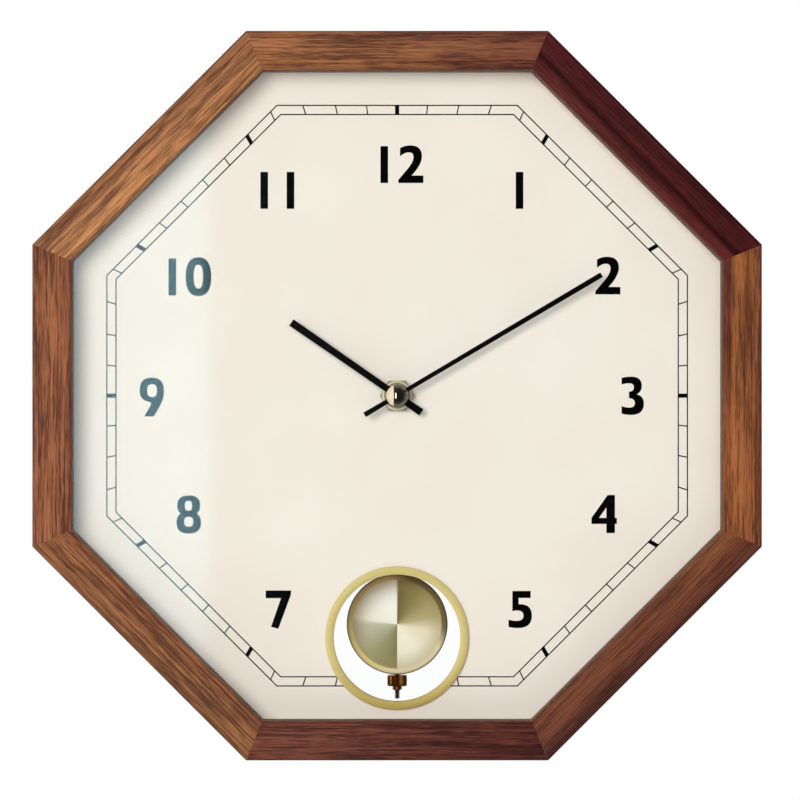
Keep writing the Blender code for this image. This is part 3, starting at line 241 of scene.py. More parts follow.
def walnut(name, turn, seed, here, there, figured):
    """Grain along one stick. here and there are its tones from the inner edge out, at its two ends."""
    wood = Finish(name, specular_ior_level=0.14)
    point = wood.place(hub, turn)
    along, depth, out = wood.axes(point)
    ripple = wood.noise(point, (14.0, 60.0, 60.0), 2.0, seed + 3.0)
    width = (out - rail_inside) / (rail_outside - rail_inside) + (ripple - 0.5) * 0.22
    tones = [
        wood.node("ValToRGB", {"stops": [(place, rgb(*colour)) for place, colour in side]}, {0: width})
        for side in (here, there)
    ]
    tone = wood.mix((along / 0.11 + 0.5) + (ripple - 0.5) * 0.5, *tones)
    figure = wood.noise(point, (18.0, 190.0, 190.0), 4.0, seed)
    streaks = wood.noise(point, (36.0, 1500.0, 1500.0), 3.0, seed + 7.0)
    fibres = wood.noise(point, (140.0, 3200.0, 3200.0), 2.0, seed + 11.0)
    pores = wood.noise(point, (90.0, 2300.0, 2300.0), 1.0, seed + 17.0).between(0.57, 0.68)
    patches = wood.noise(point, (30.0, 110.0, 110.0), 2.0, seed + 23.0)
    light = (figure - 0.5) * 1.2 + (streaks - 0.5) * 2.6 + (fibres - 0.5) * 2.4 + (patches - 0.5) * 1.2
    dark_wood = wood.mix(1.0, tone, (0.46, 0.42, 0.46, 1.0), "MULTIPLY")
    light_wood = wood.mix(1.0, tone, (1.62, 1.6, 1.32, 1.0), "MULTIPLY")
    colour = wood.mix((light * figured + 0.5).between(-0.1, 1.1), dark_wood, light_wood)
    colour = wood.mix(pores * (0.42 * figured), colour, wood.scaled(tone, 0.22))
    wood.put(base_color=colour, roughness=0.5 + (streaks - 0.5) * 0.3 + pores * 0.2)
    return wood.raised(fibres * 0.4 - pores, 0.03 * MM, 0.6)


def stick():
    """The top stick about the origin: an L section, its front edges eased, its ends mitred."""
    section = (
        (front, rail_outside),
        (front, rail_inside),
        (lip_back, rail_inside),
        (lip_back, rebate),
        (back, rebate),
        (back, rail_outside),
    )
    bm = bmesh.new()
    half = rail_outside / 2
    end = bm.faces.new([bm.verts.new((-half, y, z)) for y, z in section])
    extruded(bm, [end], (2 * half, 0.0, 0.0))
    bmesh.ops.recalc_face_normals(bm, faces=bm.faces)
    long_edges = [e for e in bm.edges if abs(e.verts[0].co.x - e.verts[1].co.x) > half]
    eased = [e for e in long_edges if e.verts[0].co.y < front + MM]
    rounded(bm, eased, EASED, 5)
    for side in (-1, 1):
        across = Vector((side * math.cos(math.pi / SIDES), 0.0, -math.sin(math.pi / SIDES)))
        sawn = bmesh.ops.bisect_plane(
            bm,
            geom=bm.verts[:] + bm.edges[:] + bm.faces[:],
            plane_co=across * -MITRE_GAP,
            plane_no=across,
            clear_outer=True,
        )
        rim = [part for part in sawn["geom_cut"] if isinstance(part, bmesh.types.BMEdge)]
        bmesh.ops.holes_fill(bm, edges=rim)
        arris = [e for e in rim if e.is_valid and all(v.co.y < front + 1e-5 for v in e.verts)]
        rounded(bm, arris, ARRIS, 1)
    return bm


def set_at_hub(bm, turn):
    """Turns a shape made about the origin clockwise, and moves it to the hub."""
    turn_by(bm, bm.verts, turn, "Y")
    moved(bm, hub)
    return bm


def pocketed(bm, low, high):
    """The shape with a box-shaped pocket cut in it."""
    box = bmesh.new()
    bmesh.ops.create_cube(box, size=1.0)
    bmesh.ops.scale(box, verts=box.verts, vec=high - low)
    moved(box, (low + high) / 2)
    blanks = []
    for shape in (bm, box):
        bmesh.ops.recalc_face_normals(shape, faces=shape.faces)
        mesh = bpy.data.meshes.new("blank")
        shape.to_mesh(mesh)
        shape.free()
        blanks.append(bpy.data.objects.new("blank", mesh))
        bpy.context.scene.collection.objects.link(blanks[-1])
    cut = blanks[0].modifiers.new("pocket", "BOOLEAN")
    cut.operation = "DIFFERENCE"
    cut.solver = "EXACT"
    cut.object = blanks[1]
    bpy.context.view_layer.update()
    left = bmesh.new()
    left.from_object(blanks[0], bpy.context.evaluated_depsgraph_get())
    for blank in blanks:
        bpy.data.objects.remove(blank)
    return left


# Tones from the inner edge to the outer, at the anticlockwise end and then at the clockwise end
rail_tones = {
    "top": (
        [(0.0, (130, 84, 54)), (0.5, (144, 97, 66)), (1.0, (124, 80, 58))],
        [(0.0, (92, 50, 42)), (0.5, (106, 63, 50)), (1.0, (84, 46, 40))],
    ),
    "top_right": (
        [
            (0.0, (92, 44, 40)), (0.28, (76, 28, 28)), (0.4, (34, 4, 4)), (0.54, (70, 24, 26)),
            (1.0, (64, 22, 24)),
        ],
        [
            (0.0, (84, 36, 36)), (0.28, (66, 22, 23)), (0.4, (32, 4, 4)), (0.54, (66, 22, 24)),
            (1.0, (58, 18, 20)),
        ],
    ),
    "right": (
        [(0.0, (76, 38, 34)), (0.18, (86, 44, 36)), (0.28, (132, 80, 48)), (1.0, (108, 64, 44))],
        [(0.0, (122, 72, 44)), (0.3, (132, 80, 48)), (0.7, (118, 70, 44)), (1.0, (96, 54, 40))],
    ),
    "bottom_right": (
        [(0.0, (116, 72, 48)), (0.5, (104, 60, 44)), (0.8, (86, 48, 38)), (1.0, (68, 36, 32))],
        [(0.0, (104, 60, 44)), (0.5, (94, 54, 42)), (0.8, (78, 42, 36)), (1.0, (64, 34, 30))],
    ),
    "bottom": (
        [(0.0, (78, 38, 36)), (0.5, (74, 36, 34)), (1.0, (66, 32, 30))],
        [(0.0, (90, 50, 43)), (0.5, (101, 60, 50)), (1.0, (86, 48, 41))],
    ),
    "bottom_left": (
        [(0.0, (126, 82, 56)), (0.5, (132, 90, 62)), (1.0, (112, 74, 52))],
        [(0.0, (128, 82, 58)), (0.5, (136, 90, 62)), (1.0, (114, 74, 54))],
    ),
    "left": (
        [(0.0, (124, 76, 56)), (0.5, (134, 84, 62)), (1.0, (122, 76, 58))],
        [(0.0, (116, 70, 54)), (0.5, (132, 84, 60)), (1.0, (122, 78, 58))],
    ),
    "top_left": (
        [(0.0, (164, 116, 80)), (0.5, (158, 111, 77)), (1.0, (132, 88, 62))],
        [(0.0, (158, 108, 72)), (0.5, (148, 101, 71)), (1.0, (124, 82, 60))],
    ),
}
for count, (side, tones) in enumerate(rail_tones.items()):
    turn = math.tau * count / SIDES
    figured = 0.6 if side in ("top_right", "bottom_right") else 1.0
    wood = walnut("walnut " + side.replace("_", " "), turn, 40.0 + 13.0 * count, *tones, figured)
    shape = set_at_hub(stick(), turn)
    if side == "top":
        plate_low, plate_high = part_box("hanger_plate")
        slack = Vector((0.3, 0.3, 0.3)) * MM
        shape = pocketed(shape, plate_low - slack, plate_high + slack + Vector((0.0, MM, 0.0)))
    piece("frame_stick_" + side, shape, wood, "case", "walnut_" + side, "rail_" + side, sharp=40.0)


# ---- Lining ----
# A strip of the same wood round the inside of the rebate. It holds the glass off the dial,
# and its face is stained darker than the sticks.
def carried(finish, *nodes):
    """Gives nodes of the frame their finish."""
    for node in nodes:
        for slot in frame["nodes"][node].material_slots:
            slot.material = finish.material


lining = Finish("stained lining", specular_ior_level=0.3)
lining_point = lining.place(hub)
lining_grain = lining.noise(lining_point, (300.0, 60.0, 300.0), 3.0)
lining.put(
    base_color=lining.mix(lining_grain.between(0.3, 0.7), rgb(84, 46, 34), rgb(122, 74, 54)),
    roughness=0.5 + lining_grain * 0.2,
)
lining.raised(lining_grain, 0.03 * MM)
carried(lining, "glazing_ring")

# ---- Glass ----
# A flat pane, 2 mm thick, dropped in from behind. It is clear, with a thin low-glare coat, so
# only the brightest things in the room show in it.
clear = Finish("clear pane")
facing = clear.node("Fresnel", sockets={"IOR": 1.5})
gloss = clear.node("BsdfGlossy", sockets={"Color": (0.62, 0.95, 1.0, 1.0), "Roughness": 0.04})
open_way = clear.node("BsdfTransparent", sockets={"Color": (0.995, 1.0, 0.998, 1.0)})
smears = clear.noise(clear.place(hub), 9.0, 2.0).between(0.2, 0.8)
pane = clear.node("MixShader", sockets={0: facing * (0.22 + smears * 0.04), 1: open_way, 2: gloss})
clear.tree.links.new(pane.socket, clear.tree.nodes["Material Output"].inputs["Surface"])
carried(clear, "glass_pane")

# ---- Dial sheet ----
# Uncoated cream card, glued flat on a hardboard backing. It has a faint tooth and cloudiness.
card = Finish("cream card", specular_ior_level=0.2)
card_point = card.place(hub)
cloud = card.noise(card_point, 22.0, 3.0)
tooth = card.noise(card_point, 2400.0, 2.0)
card.put(
    base_color=card.mix(cloud.between(0.25, 0.75), rgb(235, 226, 215), rgb(238, 231, 221)),
    roughness=0.72 + tooth * 0.1,
)
card.raised(tooth, 0.01 * MM, 0.4)
carried(card, "dial_sheet")

hardboard = Finish("hardboard", specular_ior_level=0.3)
board_point = hardboard.place(hub)
chips = hardboard.noise(board_point, 190.0, 6.0)
mesh_back = hardboard.noise(board_point, 900.0, 2.0)
hardboard.put(
    base_color=hardboard.mix(chips.between(0.2, 0.8), rgb(112, 80, 54), rgb(140, 104, 72)),
    roughness=0.8 + mesh_back * 0.1,
)
hardboard.raised(chips + mesh_back, 0.08 * MM)
carried(hardboard, "dial_board")

# ---- Numerals ----
# Heavy sans numerals, screen printed in black on the card, with none at six, where the window is.
# Each outline runs through its corners, and bends towards the points marked PULL between them.
PULL = True
INK_THICK = 0.03 * MM
dial_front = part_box("dial_sheet")[0].y
ink = Finish("printing ink", specular_ior_level=0.36, specular_tint=(0.62, 0.92, 1.0, 1.0))
ink_grain = ink.noise(ink.place(hub), 1800.0, 2.0)
ink.grained(ink_grain, rgb(3, 3, 3), rgb(7, 6, 6), 0.05, 0.03)


def oval(x, low, high, half):
    """A closed round form, fuller than an ellipse."""
    mid = (low + high) / 2
    return [
        (x, high),
        (x + half, high, PULL),
        (x + half, mid),
        (x + half, low, PULL),
        (x, low),
        (x - half, low, PULL),
        (x - half, mid),
        (x - half, high, PULL),
    ]


glyphs = {
    "0": [oval(5.4, 0.0, 16.1, 5.3), oval(5.35, 3.1, 13.1, 1.95)],
    "1": [[(0.0, 0.0), (3.15, 0.0), (3.15, 15.3), (0.0, 15.3)]],
    "2": [
        [
            (0.0, 0.0), (10.4, 0.0), (10.4, 3.1), (5.5, 3.1), (9.8, 7.6, PULL), (9.8, 11.1),
            (9.8, 15.6, PULL), (5.0, 15.6), (2.4, 15.6, PULL), (0.7, 14.4), (0.7, 11.0),
            (2.6, 12.7, PULL), (4.4, 12.7), (6.3, 12.7, PULL), (6.3, 10.8), (6.3, 8.9, PULL),
            (4.2, 6.3), (0.0, 1.3),
        ]
    ],
    "3": [
        [
            (0.0, 15.3), (1.8, 15.9, PULL), (3.9, 15.9), (8.4, 15.9, PULL), (8.4, 12.1),
            (8.4, 9.5, PULL), (6.3, 8.6), (9.25, 7.8, PULL), (9.25, 4.7), (9.25, 0.0, PULL),
            (3.9, 0.0), (1.6, 0.0, PULL), (0.0, 0.6), (0.0, 3.7), (1.6, 3.05, PULL), (3.2, 3.05),
            (5.5, 3.05, PULL), (5.5, 4.9), (5.5, 6.9, PULL), (3.05, 6.9), (3.05, 9.7),
            (5.1, 9.7, PULL), (5.1, 11.5), (5.1, 13.1, PULL), (3.2, 13.1), (1.4, 13.1, PULL),
            (0.0, 12.6),
        ]
    ],
    "4": [
        [
            (6.7, 15.8), (9.75, 15.8), (9.75, 6.3), (10.55, 6.3), (10.55, 3.8), (9.75, 3.8),
            (9.75, 0.0), (6.2, 0.0), (6.2, 3.8), (0.0, 3.8), (0.0, 6.3),
        ],
        [(6.2, 6.3), (3.1, 6.3), (6.2, 10.6)],
    ],
    "5": [
        [
            (1.6, 15.4), (9.2, 15.4), (9.2, 12.5), (4.2, 12.5), (4.2, 9.9), (9.7, 10.2, PULL),
            (9.7, 5.1), (9.7, 0.0, PULL), (3.9, 0.0), (1.6, 0.0, PULL), (0.0, 0.5), (0.0, 3.5),
            (1.7, 3.0, PULL), (3.4, 3.0), (6.2, 3.0, PULL), (6.2, 5.1), (6.2, 7.3, PULL),
            (3.5, 7.3), (2.4, 7.3, PULL), (1.6, 6.9),
        ]
    ],
    "7": [
        [
            (0.0, 15.9), (10.6, 15.9), (10.4, 13.9), (9.8, 12.3), (5.25, 0.0), (2.2, 0.8),
            (6.3, 12.7), (0.0, 12.7),
        ]
    ],
    "8": [
        [
            (5.05, 15.8), (9.8, 15.8, PULL), (9.8, 11.75), (9.8, 9.2, PULL), (8.3, 8.4),
            (10.15, 7.2, PULL), (10.15, 4.5), (10.15, 0.0, PULL), (5.05, 0.0), (0.0, 0.0, PULL),
            (0.0, 4.5), (0.0, 7.2, PULL), (1.8, 8.4), (0.3, 9.2, PULL), (0.3, 11.75),
            (0.3, 15.8, PULL),
        ],
        oval(4.95, 9.5, 13.6, 1.55),
        oval(5.05, 2.8, 7.0, 1.9),
    ],
    "9": [
        [
            (5.0, 16.1), (10.1, 16.1, PULL), (10.1, 10.6), (10.1, 7.3, PULL), (8.2, 3.9),
            (5.9, 0.0), (1.9, 0.0), (4.9, 5.2), (4.2, 6.0), (0.0, 6.5, PULL), (0.0, 10.9),
            (0.0, 16.1, PULL),
        ],
        oval(5.15, 8.0, 13.4, 2.05),
    ],
}
# Each numeral's glyphs, with where their lower left corners stand from the hub
numerals = {
    "twelve": (("1", -6.9, 88.2), ("2", 0.5, 88.2)),
    "one": (("1", 49.2, 77.5),),
    "two": (("2", 82.2, 42.0),),
    "three": (("3", 93.1, -8.0),),
    "four": (("4", 80.6, -57.0),),
    "five": (("5", 46.2, -96.4),),
    "seven": (("7", -54.5, -96.7),),
    "eight": (("8", -91.5, -57.2),),
    "nine": (("9", -106.8, -8.6),),
    "ten": (("1", -94.8, 41.6), ("0", -87.8, 41.3)),
    "eleven": (("1", -56.7, 77.5), ("1", -45.8, 77.5)),
}


def outline(points):
    """The outline's corners, with its bends stepped."""
    stepped = []
    for here, point in enumerate(points):
        if len(point) == 2:
            stepped.append(point)
            continue
        start, end = points[here - 1], points[(here + 1) % len(points)]
        for step in range(1, 9):
            t = step / 9
            stepped.append(
                tuple(
                    (1 - t) ** 2 * start[axis] + 2 * t * (1 - t) * point[axis] + t * t * end[axis]
                    for axis in (0, 1)
                )
            )
    return stepped


def printed(bm):
    """Gives flat shapes at the dial's face the thickness of ink."""
    extruded(bm, bm.faces[:], (0.0, -INK_THICK, 0.0))
    return bm


for name, parts in numerals.items():
    bm = bmesh.new()
    for glyph, x, z in parts:
        edges = []
        for points in glyphs[glyph]:
            loop = [
                bm.verts.new(hub + Vector(((x + a) * MM, dial_front, (z + b) * MM)))
                for a, b in outline(points)
            ]
            edges += [bm.edges.new((loop[i - 1], loop[i])) for i in range(len(loop))]
        bmesh.ops.triangle_fill(bm, edges=edges, use_beauty=True)
    piece("numeral_" + name, printed(bm), ink, "case", "cream_paper", smooth=False)

# ---- Minute track ----
# Two fine octagons printed round the dial, ruled across at each minute and barred at each fifth.
# They stop where the window's ring covers them.
TRACK_OUTER = 120.4 * MM
TRACK_INNER = 116.6 * MM
RULE = 0.5 * MM
BAR = 1.7 * MM
UNDER_RING = 21.4 * MM


def reach(half_flat, angle):
    """How far an octagon's side lies from the hub in a direction clockwise from twelve."""
    off = (angle + math.pi / SIDES) % (math.tau / SIDES) - math.pi / SIDES
    return half_flat / math.cos(off)


bm = bmesh.new()
for half_flat in (TRACK_OUTER, TRACK_INNER):
    rims = []
    for edge in (half_flat - RULE / 2, half_flat + RULE / 2):
        made = bmesh.ops.create_circle(bm, segments=SIDES, radius=edge / math.cos(math.pi / SIDES))
        turn_by(bm, made["verts"], math.pi / SIDES, "Z")
        rims += {e for v in made["verts"] for e in v.link_edges}
    bmesh.ops.bridge_loops(bm, edges=rims)
for minute in range(60):
    angle = math.tau * minute / 60
    inner, outer = reach(TRACK_INNER, angle), reach(TRACK_OUTER, angle)
    bar = BAR if minute % 5 == 0 else RULE
    made = bmesh.ops.create_grid(bm, x_segments=1, y_segments=1, size=0.5)
    bmesh.ops.scale(bm, verts=made["verts"], vec=(bar, outer - inner, 1.0))
    bmesh.ops.translate(bm, verts=made["verts"], vec=(0.0, (inner + outer) / 2, 0.0))
    turn_by(bm, made["verts"], -angle, "Z")
for side in (-1, 1):
    bmesh.ops.bisect_plane(
        bm,
        geom=bm.verts[:] + bm.edges[:] + bm.faces[:],
        plane_co=(side * UNDER_RING, 0.0, 0.0),
        plane_no=(1.0, 0.0, 0.0),
    )
middles = {face: face.calc_center_median() for face in bm.faces}
hidden = [face for face, at in middles.items() if at.y < 0 and abs(at.x) < UNDER_RING]
bmesh.ops.delete(bm, geom=hidden, context="FACES")
turn_by(bm, bm.verts, math.pi / 2, "X")
moved(bm, hub + Vector((0.0, dial_front, 0.0)))
piece("minute_track", printed(bm), ink, "case", "cream_paper", smooth=False)


# ---- Window ring ----
# A flat gilt brass ring with a short sleeve, pushed through the round window from the front.
def turned(profile, steps, axis, cent):
    """Turns (radius, place along the axis) points about an axis. The ends lie on it, or it closes."""
    bm = bmesh.new()
    spots = {
        "X": lambda r, h: (h, r, 0.0),
        "Y": lambda r, h: (r, h, 0.0),
        "Z": lambda r, h: (r, 0.0, h),
    }
    verts = [bm.verts.new(spots[axis](r, h)) for r, h in profile]
    edges = [bm.edges.new(pair) for pair in zip(verts, verts[1:])]
    if profile[0][0] > 0.0:
        edges.append(bm.edges.new((verts[-1], verts[0])))
    bmesh.ops.spin(
        bm,
        geom=verts + edges,
        cent=(0, 0, 0),
        axis=spots[axis](0.0, 1.0),
        angle=math.tau,
        steps=steps,
        use_merge=True,
    )
    moved(bm, cent)
    return bm


def centre_of(node):
    low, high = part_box(node)
    return (low + high) / 2


ring_low, ring_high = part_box("window_ring")
ring_centre = centre_of("window_ring")
ring_centre.y = 0.0
ring_radius = (ring_high.x - ring_low.x) / 2
RING_FACE = 3.45 * MM
SLEEVE_WALL = 0.8 * MM
FLANGE_THICK = 1.2 * MM
ring_hole = ring_radius - RING_FACE
ring_sleeve = ring_hole + SLEEVE_WALL
flange_back = ring_low.y + FLANGE_THICK
gilt = Finish("gilt brass", metallic=0.3)
gilt_point = gilt.place(ring_centre)
up_ring = gilt.axes(gilt_point)[2]
brushed = gilt.noise(gilt_point, (500.0, 40.0, 40.0), 3.0)
# Painted shade: the ring's colour is darker towards the bottom and lighter above
painted_shading = (up_ring / ring_radius).between(-1.0, -0.2)
gilt.put(
    base_color=gilt.mix(painted_shading, rgb(208, 182, 102), rgb(226, 205, 134)),
    roughness=0.34 + brushed * 0.16,
)
gilt.raised(brushed, 0.004 * MM, 0.5)
ease = 0.25 * MM
piece(
    "window_bezel",
    turned(
        (
            (ring_hole, ring_low.y + ease),
            (ring_hole + ease * 0.3, ring_low.y + ease * 0.3),
            (ring_hole + ease, ring_low.y),
            (ring_radius - ease, ring_low.y),
            (ring_radius - ease * 0.3, ring_low.y + ease * 0.3),
            (ring_radius, ring_low.y + ease),
            (ring_radius, flange_back),
            (ring_sleeve, flange_back),
            (ring_sleeve, ring_high.y),
            (ring_hole, ring_high.y),
        ),
        128,
        "Y",
        ring_centre,
    ),
    gilt, "case", "gilt_brass", "window_ring",
)

# ---- Nut and washer on the bush ----
# A plated hexagon nut, chamfered on its face, clamps the movement's bush over a rubber washer.
brass = Finish("turned brass", metallic=1.0)
brass_point = brass.place(hub)
lathe = brass.noise(brass_point, 3200.0, 2.0)
brass.grained(lathe, rgb(190, 170, 108), rgb(220, 202, 146), 0.26, 0.12)
brass.raised(lathe, 0.002 * MM, 0.3)
nut_low, nut_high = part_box("shaft_nut")
nut_across = nut_high.z - nut_low.z
NUT_CHAMFER = 0.55 * MM
NUT_BORE = 4.3 * MM
BORE_SIDES = 48
CHAMFER_STEPS = 3


def polygon(bm, sides, flat, y):
    """Corners of a regular polygon about the hub's axis, with a given distance to its flats."""
    corner = flat / math.cos(math.pi / sides)
    steps = [math.tau * step / sides for step in range(sides)]
    return [bm.verts.new(hub + Vector((corner * math.cos(a), y, corner * math.sin(a)))) for a in steps]


bm = bmesh.new()
nut_loops = [polygon(bm, BORE_SIDES, NUT_BORE, y) for y in (nut_high.y, nut_low.y)]
for step in range(CHAMFER_STEPS + 1):
    slope = math.pi / 2 * step / CHAMFER_STEPS
    flat = nut_across / 2 - NUT_CHAMFER * (1.0 - math.sin(slope))
    nut_loops.append(polygon(bm, 6, flat, nut_low.y + NUT_CHAMFER * (1.0 - math.cos(slope))))
nut_loops.append(polygon(bm, 6, nut_across / 2, nut_high.y))
for near, far in zip(nut_loops, nut_loops[1:]):
    if len(near) == len(far):
        for i in range(len(near)):
            bm.faces.new((near[i - 1], near[i], far[i], far[i - 1]))
for face_loops in (nut_loops[1:3], (nut_loops[0], nut_loops[-1])):
    rims = [bm.edges.get((loop[i - 1], loop[i])) for loop in face_loops for i in range(len(loop))]
    bmesh.ops.triangle_fill(bm, edges=rims, use_beauty=True)
plated = Finish("plated nut", metallic=0.4)
plated_point = plated.place(hub)
plating = plated.noise(plated_point, 900.0, 2.0)
nut_x, _, nut_z = plated.axes(plated_point)
nut_reach = (nut_x * nut_x + nut_z * nut_z) ** 0.5
# Painted shade: a dark olive ring round the bush from 4 to 5.6 mm out, and a painted dark edge from 5.9
# to 6.3 mm
painted_shade_ring = nut_reach.between(4.0 * MM, 4.6 * MM) - nut_reach.between(5.1 * MM, 5.6 * MM)
nut_tone = plated.mix(plating, rgb(220, 208, 168), rgb(240, 231, 200))
nut_tone = plated.mix(painted_shade_ring * 0.8, nut_tone, rgb(104, 90, 56))
nut_tone = plated.mix(nut_reach.between(5.9 * MM, 6.3 * MM) * 0.7, nut_tone, rgb(126, 114, 78))
plated.put(base_color=nut_tone, roughness=0.28 + plating * 0.1)
piece("bush_nut", bm, plated, "case", "brass", "shaft_nut", sharp=25.0)
carried(brass, "threaded_bush")

rubber = Finish("rubber", specular_ior_level=0.3)
bloom = rubber.noise(rubber.place(hub), 700.0, 3.0)
rubber.grained(bloom, rgb(22, 22, 22), rgb(40, 39, 38), 0.75, 0.15)
carried(rubber, "shaft_washer")

# ---- Hands ----
# Straight stampings of thin brass sheet, sprayed satin black, a little wider at the tips. The
# hour hand is pushed on its pipe, and the cap nut holds the minute hand.
black = Finish("black enamel", specular_ior_level=0.08)
speck = black.noise(black.place(hub), 2600.0, 2.0)
black.grained(speck, rgb(4, 4, 4), rgb(9, 8, 8), 0.46, 0.12)


def hand(node, clockwise, length, tail, root, tip, boss):
    """A blade from its tail to its tip, with its widths at the hub and at both ends, on a round boss."""
    low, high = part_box(node)
    bm = bmesh.new()
    spine = [(-tail, tip), (0.0, root), (length, tip)]
    rail = [(width / 2, along) for along, width in spine]
    rail += [(-width / 2, along) for along, width in reversed(spine)]
    blade = bm.faces.new([bm.verts.new((x, low.y, z)) for x, z in rail])
    extruded(bm, [blade], (0.0, high.y - low.y, 0.0))
    bmesh.ops.recalc_face_normals(bm, faces=bm.faces)
    crisp = [e for e in bm.edges if all(v.co.y < low.y + 1e-6 for v in e.verts)]
    rounded(bm, crisp, 0.12 * MM, 2)
    disc = bmesh.ops.create_cone(
        bm, segments=64, radius1=boss, radius2=boss, depth=high.y - low.y, cap_ends=True
    )
    turn_by(bm, disc["verts"], math.pi / 2, "X")
    bmesh.ops.translate(bm, verts=disc["verts"], vec=(0.0, (low.y + high.y) / 2, 0.0))
    return set_at_hub(bm, math.radians(clockwise))


piece(
    "hour_pointer",
    hand(
        "hour_hand",
        clockwise=304.7,
        length=53.2 * MM,
        tail=12.2 * MM,
        root=2.7 * MM,
        tip=3.2 * MM,
        boss=3.9 * MM,
    ),
    black, "hour", "black_paint", "hour_hand",
)
piece(
    "minute_pointer",
    hand(
        "minute_hand",
        clockwise=59.4,
        length=98.2 * MM,
        tail=15.6 * MM,
        root=1.8 * MM,
        tip=2.2 * MM,
        boss=3.0 * MM,
    ),
    black, "minute", "black_paint", "minute_hand",
)

# ---- Cap nut ----
# A small turned cap, plated and polished to a dark bronze mirror, screwed on the minute tube.
mirror = Finish("polished bronze plate", metallic=1.0)
haze = mirror.noise(mirror.place(hub), 1200.0, 2.0)
mirror.grained(haze, rgb(228, 200, 172), rgb(238, 212, 186), 0.04, 0.03)
cap_low, cap_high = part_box("hand_cap")
cap_radius = (cap_high.x - cap_low.x) / 2
cap_rise = 1.12 * MM
DOME_STEPS = 16
tube_radius = 1.9 * MM
tube_end = cap_low.y + 1.4 * MM
cap_sphere = (cap_radius**2 + cap_rise**2) / (2 * cap_rise)
cap_slope = math.asin(cap_radius / cap_sphere)
cap_profile = [
    (
        cap_sphere * math.sin(cap_slope * step / DOME_STEPS),
        cap_low.y + cap_sphere * (1.0 - math.cos(cap_slope * step / DOME_STEPS)),
    )
    for step in range(DOME_STEPS)
]
cap_profile += [
    (cap_radius - 0.03 * MM, cap_low.y + cap_rise),
    (cap_radius, cap_low.y + cap_rise + 0.05 * MM),
    (cap_radius, cap_high.y),
    (tube_radius, cap_high.y),
    (tube_radius, tube_end),
    (0.0, tube_end),
]
piece("cap_nut", turned(cap_profile, 96, "Y", hub), mirror, "minute", "polished_cap", "hand_cap")

# ---- Bob ----
# A spun brass dish over a zinc weight, with fine spinning rings in its relief. The four fans of light
# that such rings throw are painted into its colour by angle round the middle, as a painted sheen. The
# turned-down edge is burnished to a plain gold band, lighter towards the bottom, with painted shade at
# its upper right, a painted highlight at its lower right and a painted shadow at its lip.
bob_low, bob_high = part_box("bob_face")
bob_centre = centre_of("bob_face")
bob_centre.y = 0.0
bob_radius = (bob_high.x - bob_low.x) / 2
spun = Finish("spun brass", metallic=0.1, specular_ior_level=0.5)
bob_point = spun.place(bob_centre)
bx, _, bz = spun.axes(bob_point)
from_middle = (bx * bx + bz * bz) ** 0.5
face_share = from_middle / bob_radius
clock_angle = bx.maths("ARCTAN2", bx, bz) / math.pi
# Painted sheen: the spun face's bright and dark fans of reflected light, painted into the base colour by
# angle round the middle
wheel = spun.node(
    "ValToRGB",
    {
        "stops": [
            (0.0, rgb(134, 130, 85)),
            (0.08, rgb(156, 153, 110)),
            (0.25, rgb(198, 197, 173)),
            (0.28, rgb(246, 244, 226)),
            (0.42, rgb(254, 253, 242)),
            (0.495, rgb(255, 254, 244)),
            (0.505, rgb(112, 102, 49)),
            (0.60, rgb(144, 133, 80)),
            (0.72, rgb(190, 180, 134)),
            (0.78, rgb(242, 235, 205)),
            (0.90, rgb(255, 251, 230)),
            (0.995, rgb(252, 247, 222)),
        ]
    },
    {0: clock_angle * 0.5 + 0.5},
)
rings = (from_middle * 24000.0).wave()
wander = spun.noise(bob_point, 160.0, 2.0)
band = face_share.between(0.86, 0.90)
# The gold band's own colour, with painted light: lighter towards the bottom, painted shade on the upper
# right, a painted highlight on the lower right
gold_band_painted_light = spun.mix((bz / bob_radius).between(-0.8, 0.5), rgb(242, 224, 152), rgb(228, 208, 140))
lip_shadow = face_share.between(0.968, 0.99)
painted_band_shade = ((bx * 0.8 + bz * 0.6) / bob_radius).between(0.35, 0.75) * 0.8
painted_band_highlight = ((bx * 0.5 - bz * 0.87) / bob_radius).between(0.35, 0.8) * 0.75
gold_band_painted_light = spun.mix(painted_band_highlight, gold_band_painted_light, rgb(252, 242, 208))
gold_band_painted_light = spun.mix(painted_band_shade, gold_band_painted_light, rgb(74, 60, 36))
face_tone = spun.mix(face_share.between(0.5, 0.95) * 0.4, wheel, rgb(196, 182, 122))
face_tone = spun.mix(band, face_tone, gold_band_painted_light)
face_tone = spun.mix(lip_shadow, face_tone, rgb(72, 56, 36))
spun.put(base_color=face_tone, roughness=0.42 + (rings + wander - 1.0) * 0.10)
spun.raised(rings * (1.0 - band) + wander * 0.3, 0.006 * MM, 0.5)
bob_shell = 0.7 * MM
skirt_back = bob_low.y + 2.55 * MM
bob_profile = [
    (0.0, bob_low.y),
    (bob_radius * 0.3, bob_low.y + 0.08 * MM),
    (bob_radius * 0.6, bob_low.y + 0.32 * MM),
    (bob_radius * 0.855, bob_low.y + 0.66 * MM),
    (bob_radius * 0.865, bob_low.y + 0.78 * MM),
    (bob_radius * 0.93, bob_low.y + 1.02 * MM),
    (bob_radius * 0.975, bob_low.y + 1.40 * MM),
    (bob_radius * 0.995, bob_low.y + 1.9 * MM),
    (bob_radius, bob_low.y + 2.2 * MM),
    (bob_radius, skirt_back),
    (bob_radius - bob_shell, skirt_back),
    (bob_radius - bob_shell, bob_low.y + 2.3 * MM),
    (bob_radius * 0.85, bob_low.y + 0.78 * MM + bob_shell),
    (bob_radius * 0.6, bob_low.y + 0.32 * MM + bob_shell),
    (0.0, bob_low.y + bob_shell),
]
piece("bob_dish", turned(bob_profile, 160, "Y", bob_centre), spun, "bob", "spun_brass", "bob_face")
zinc = Finish("cast zinc", metallic=0.8)
pits = zinc.noise(zinc.place(bob_centre), 600.0, 4.0)
zinc.grained(pits, rgb(134, 136, 138), rgb(172, 174, 176), 0.45, 0.2)
zinc.raised(pits, 0.05 * MM)
carried(zinc, "bob_weight")

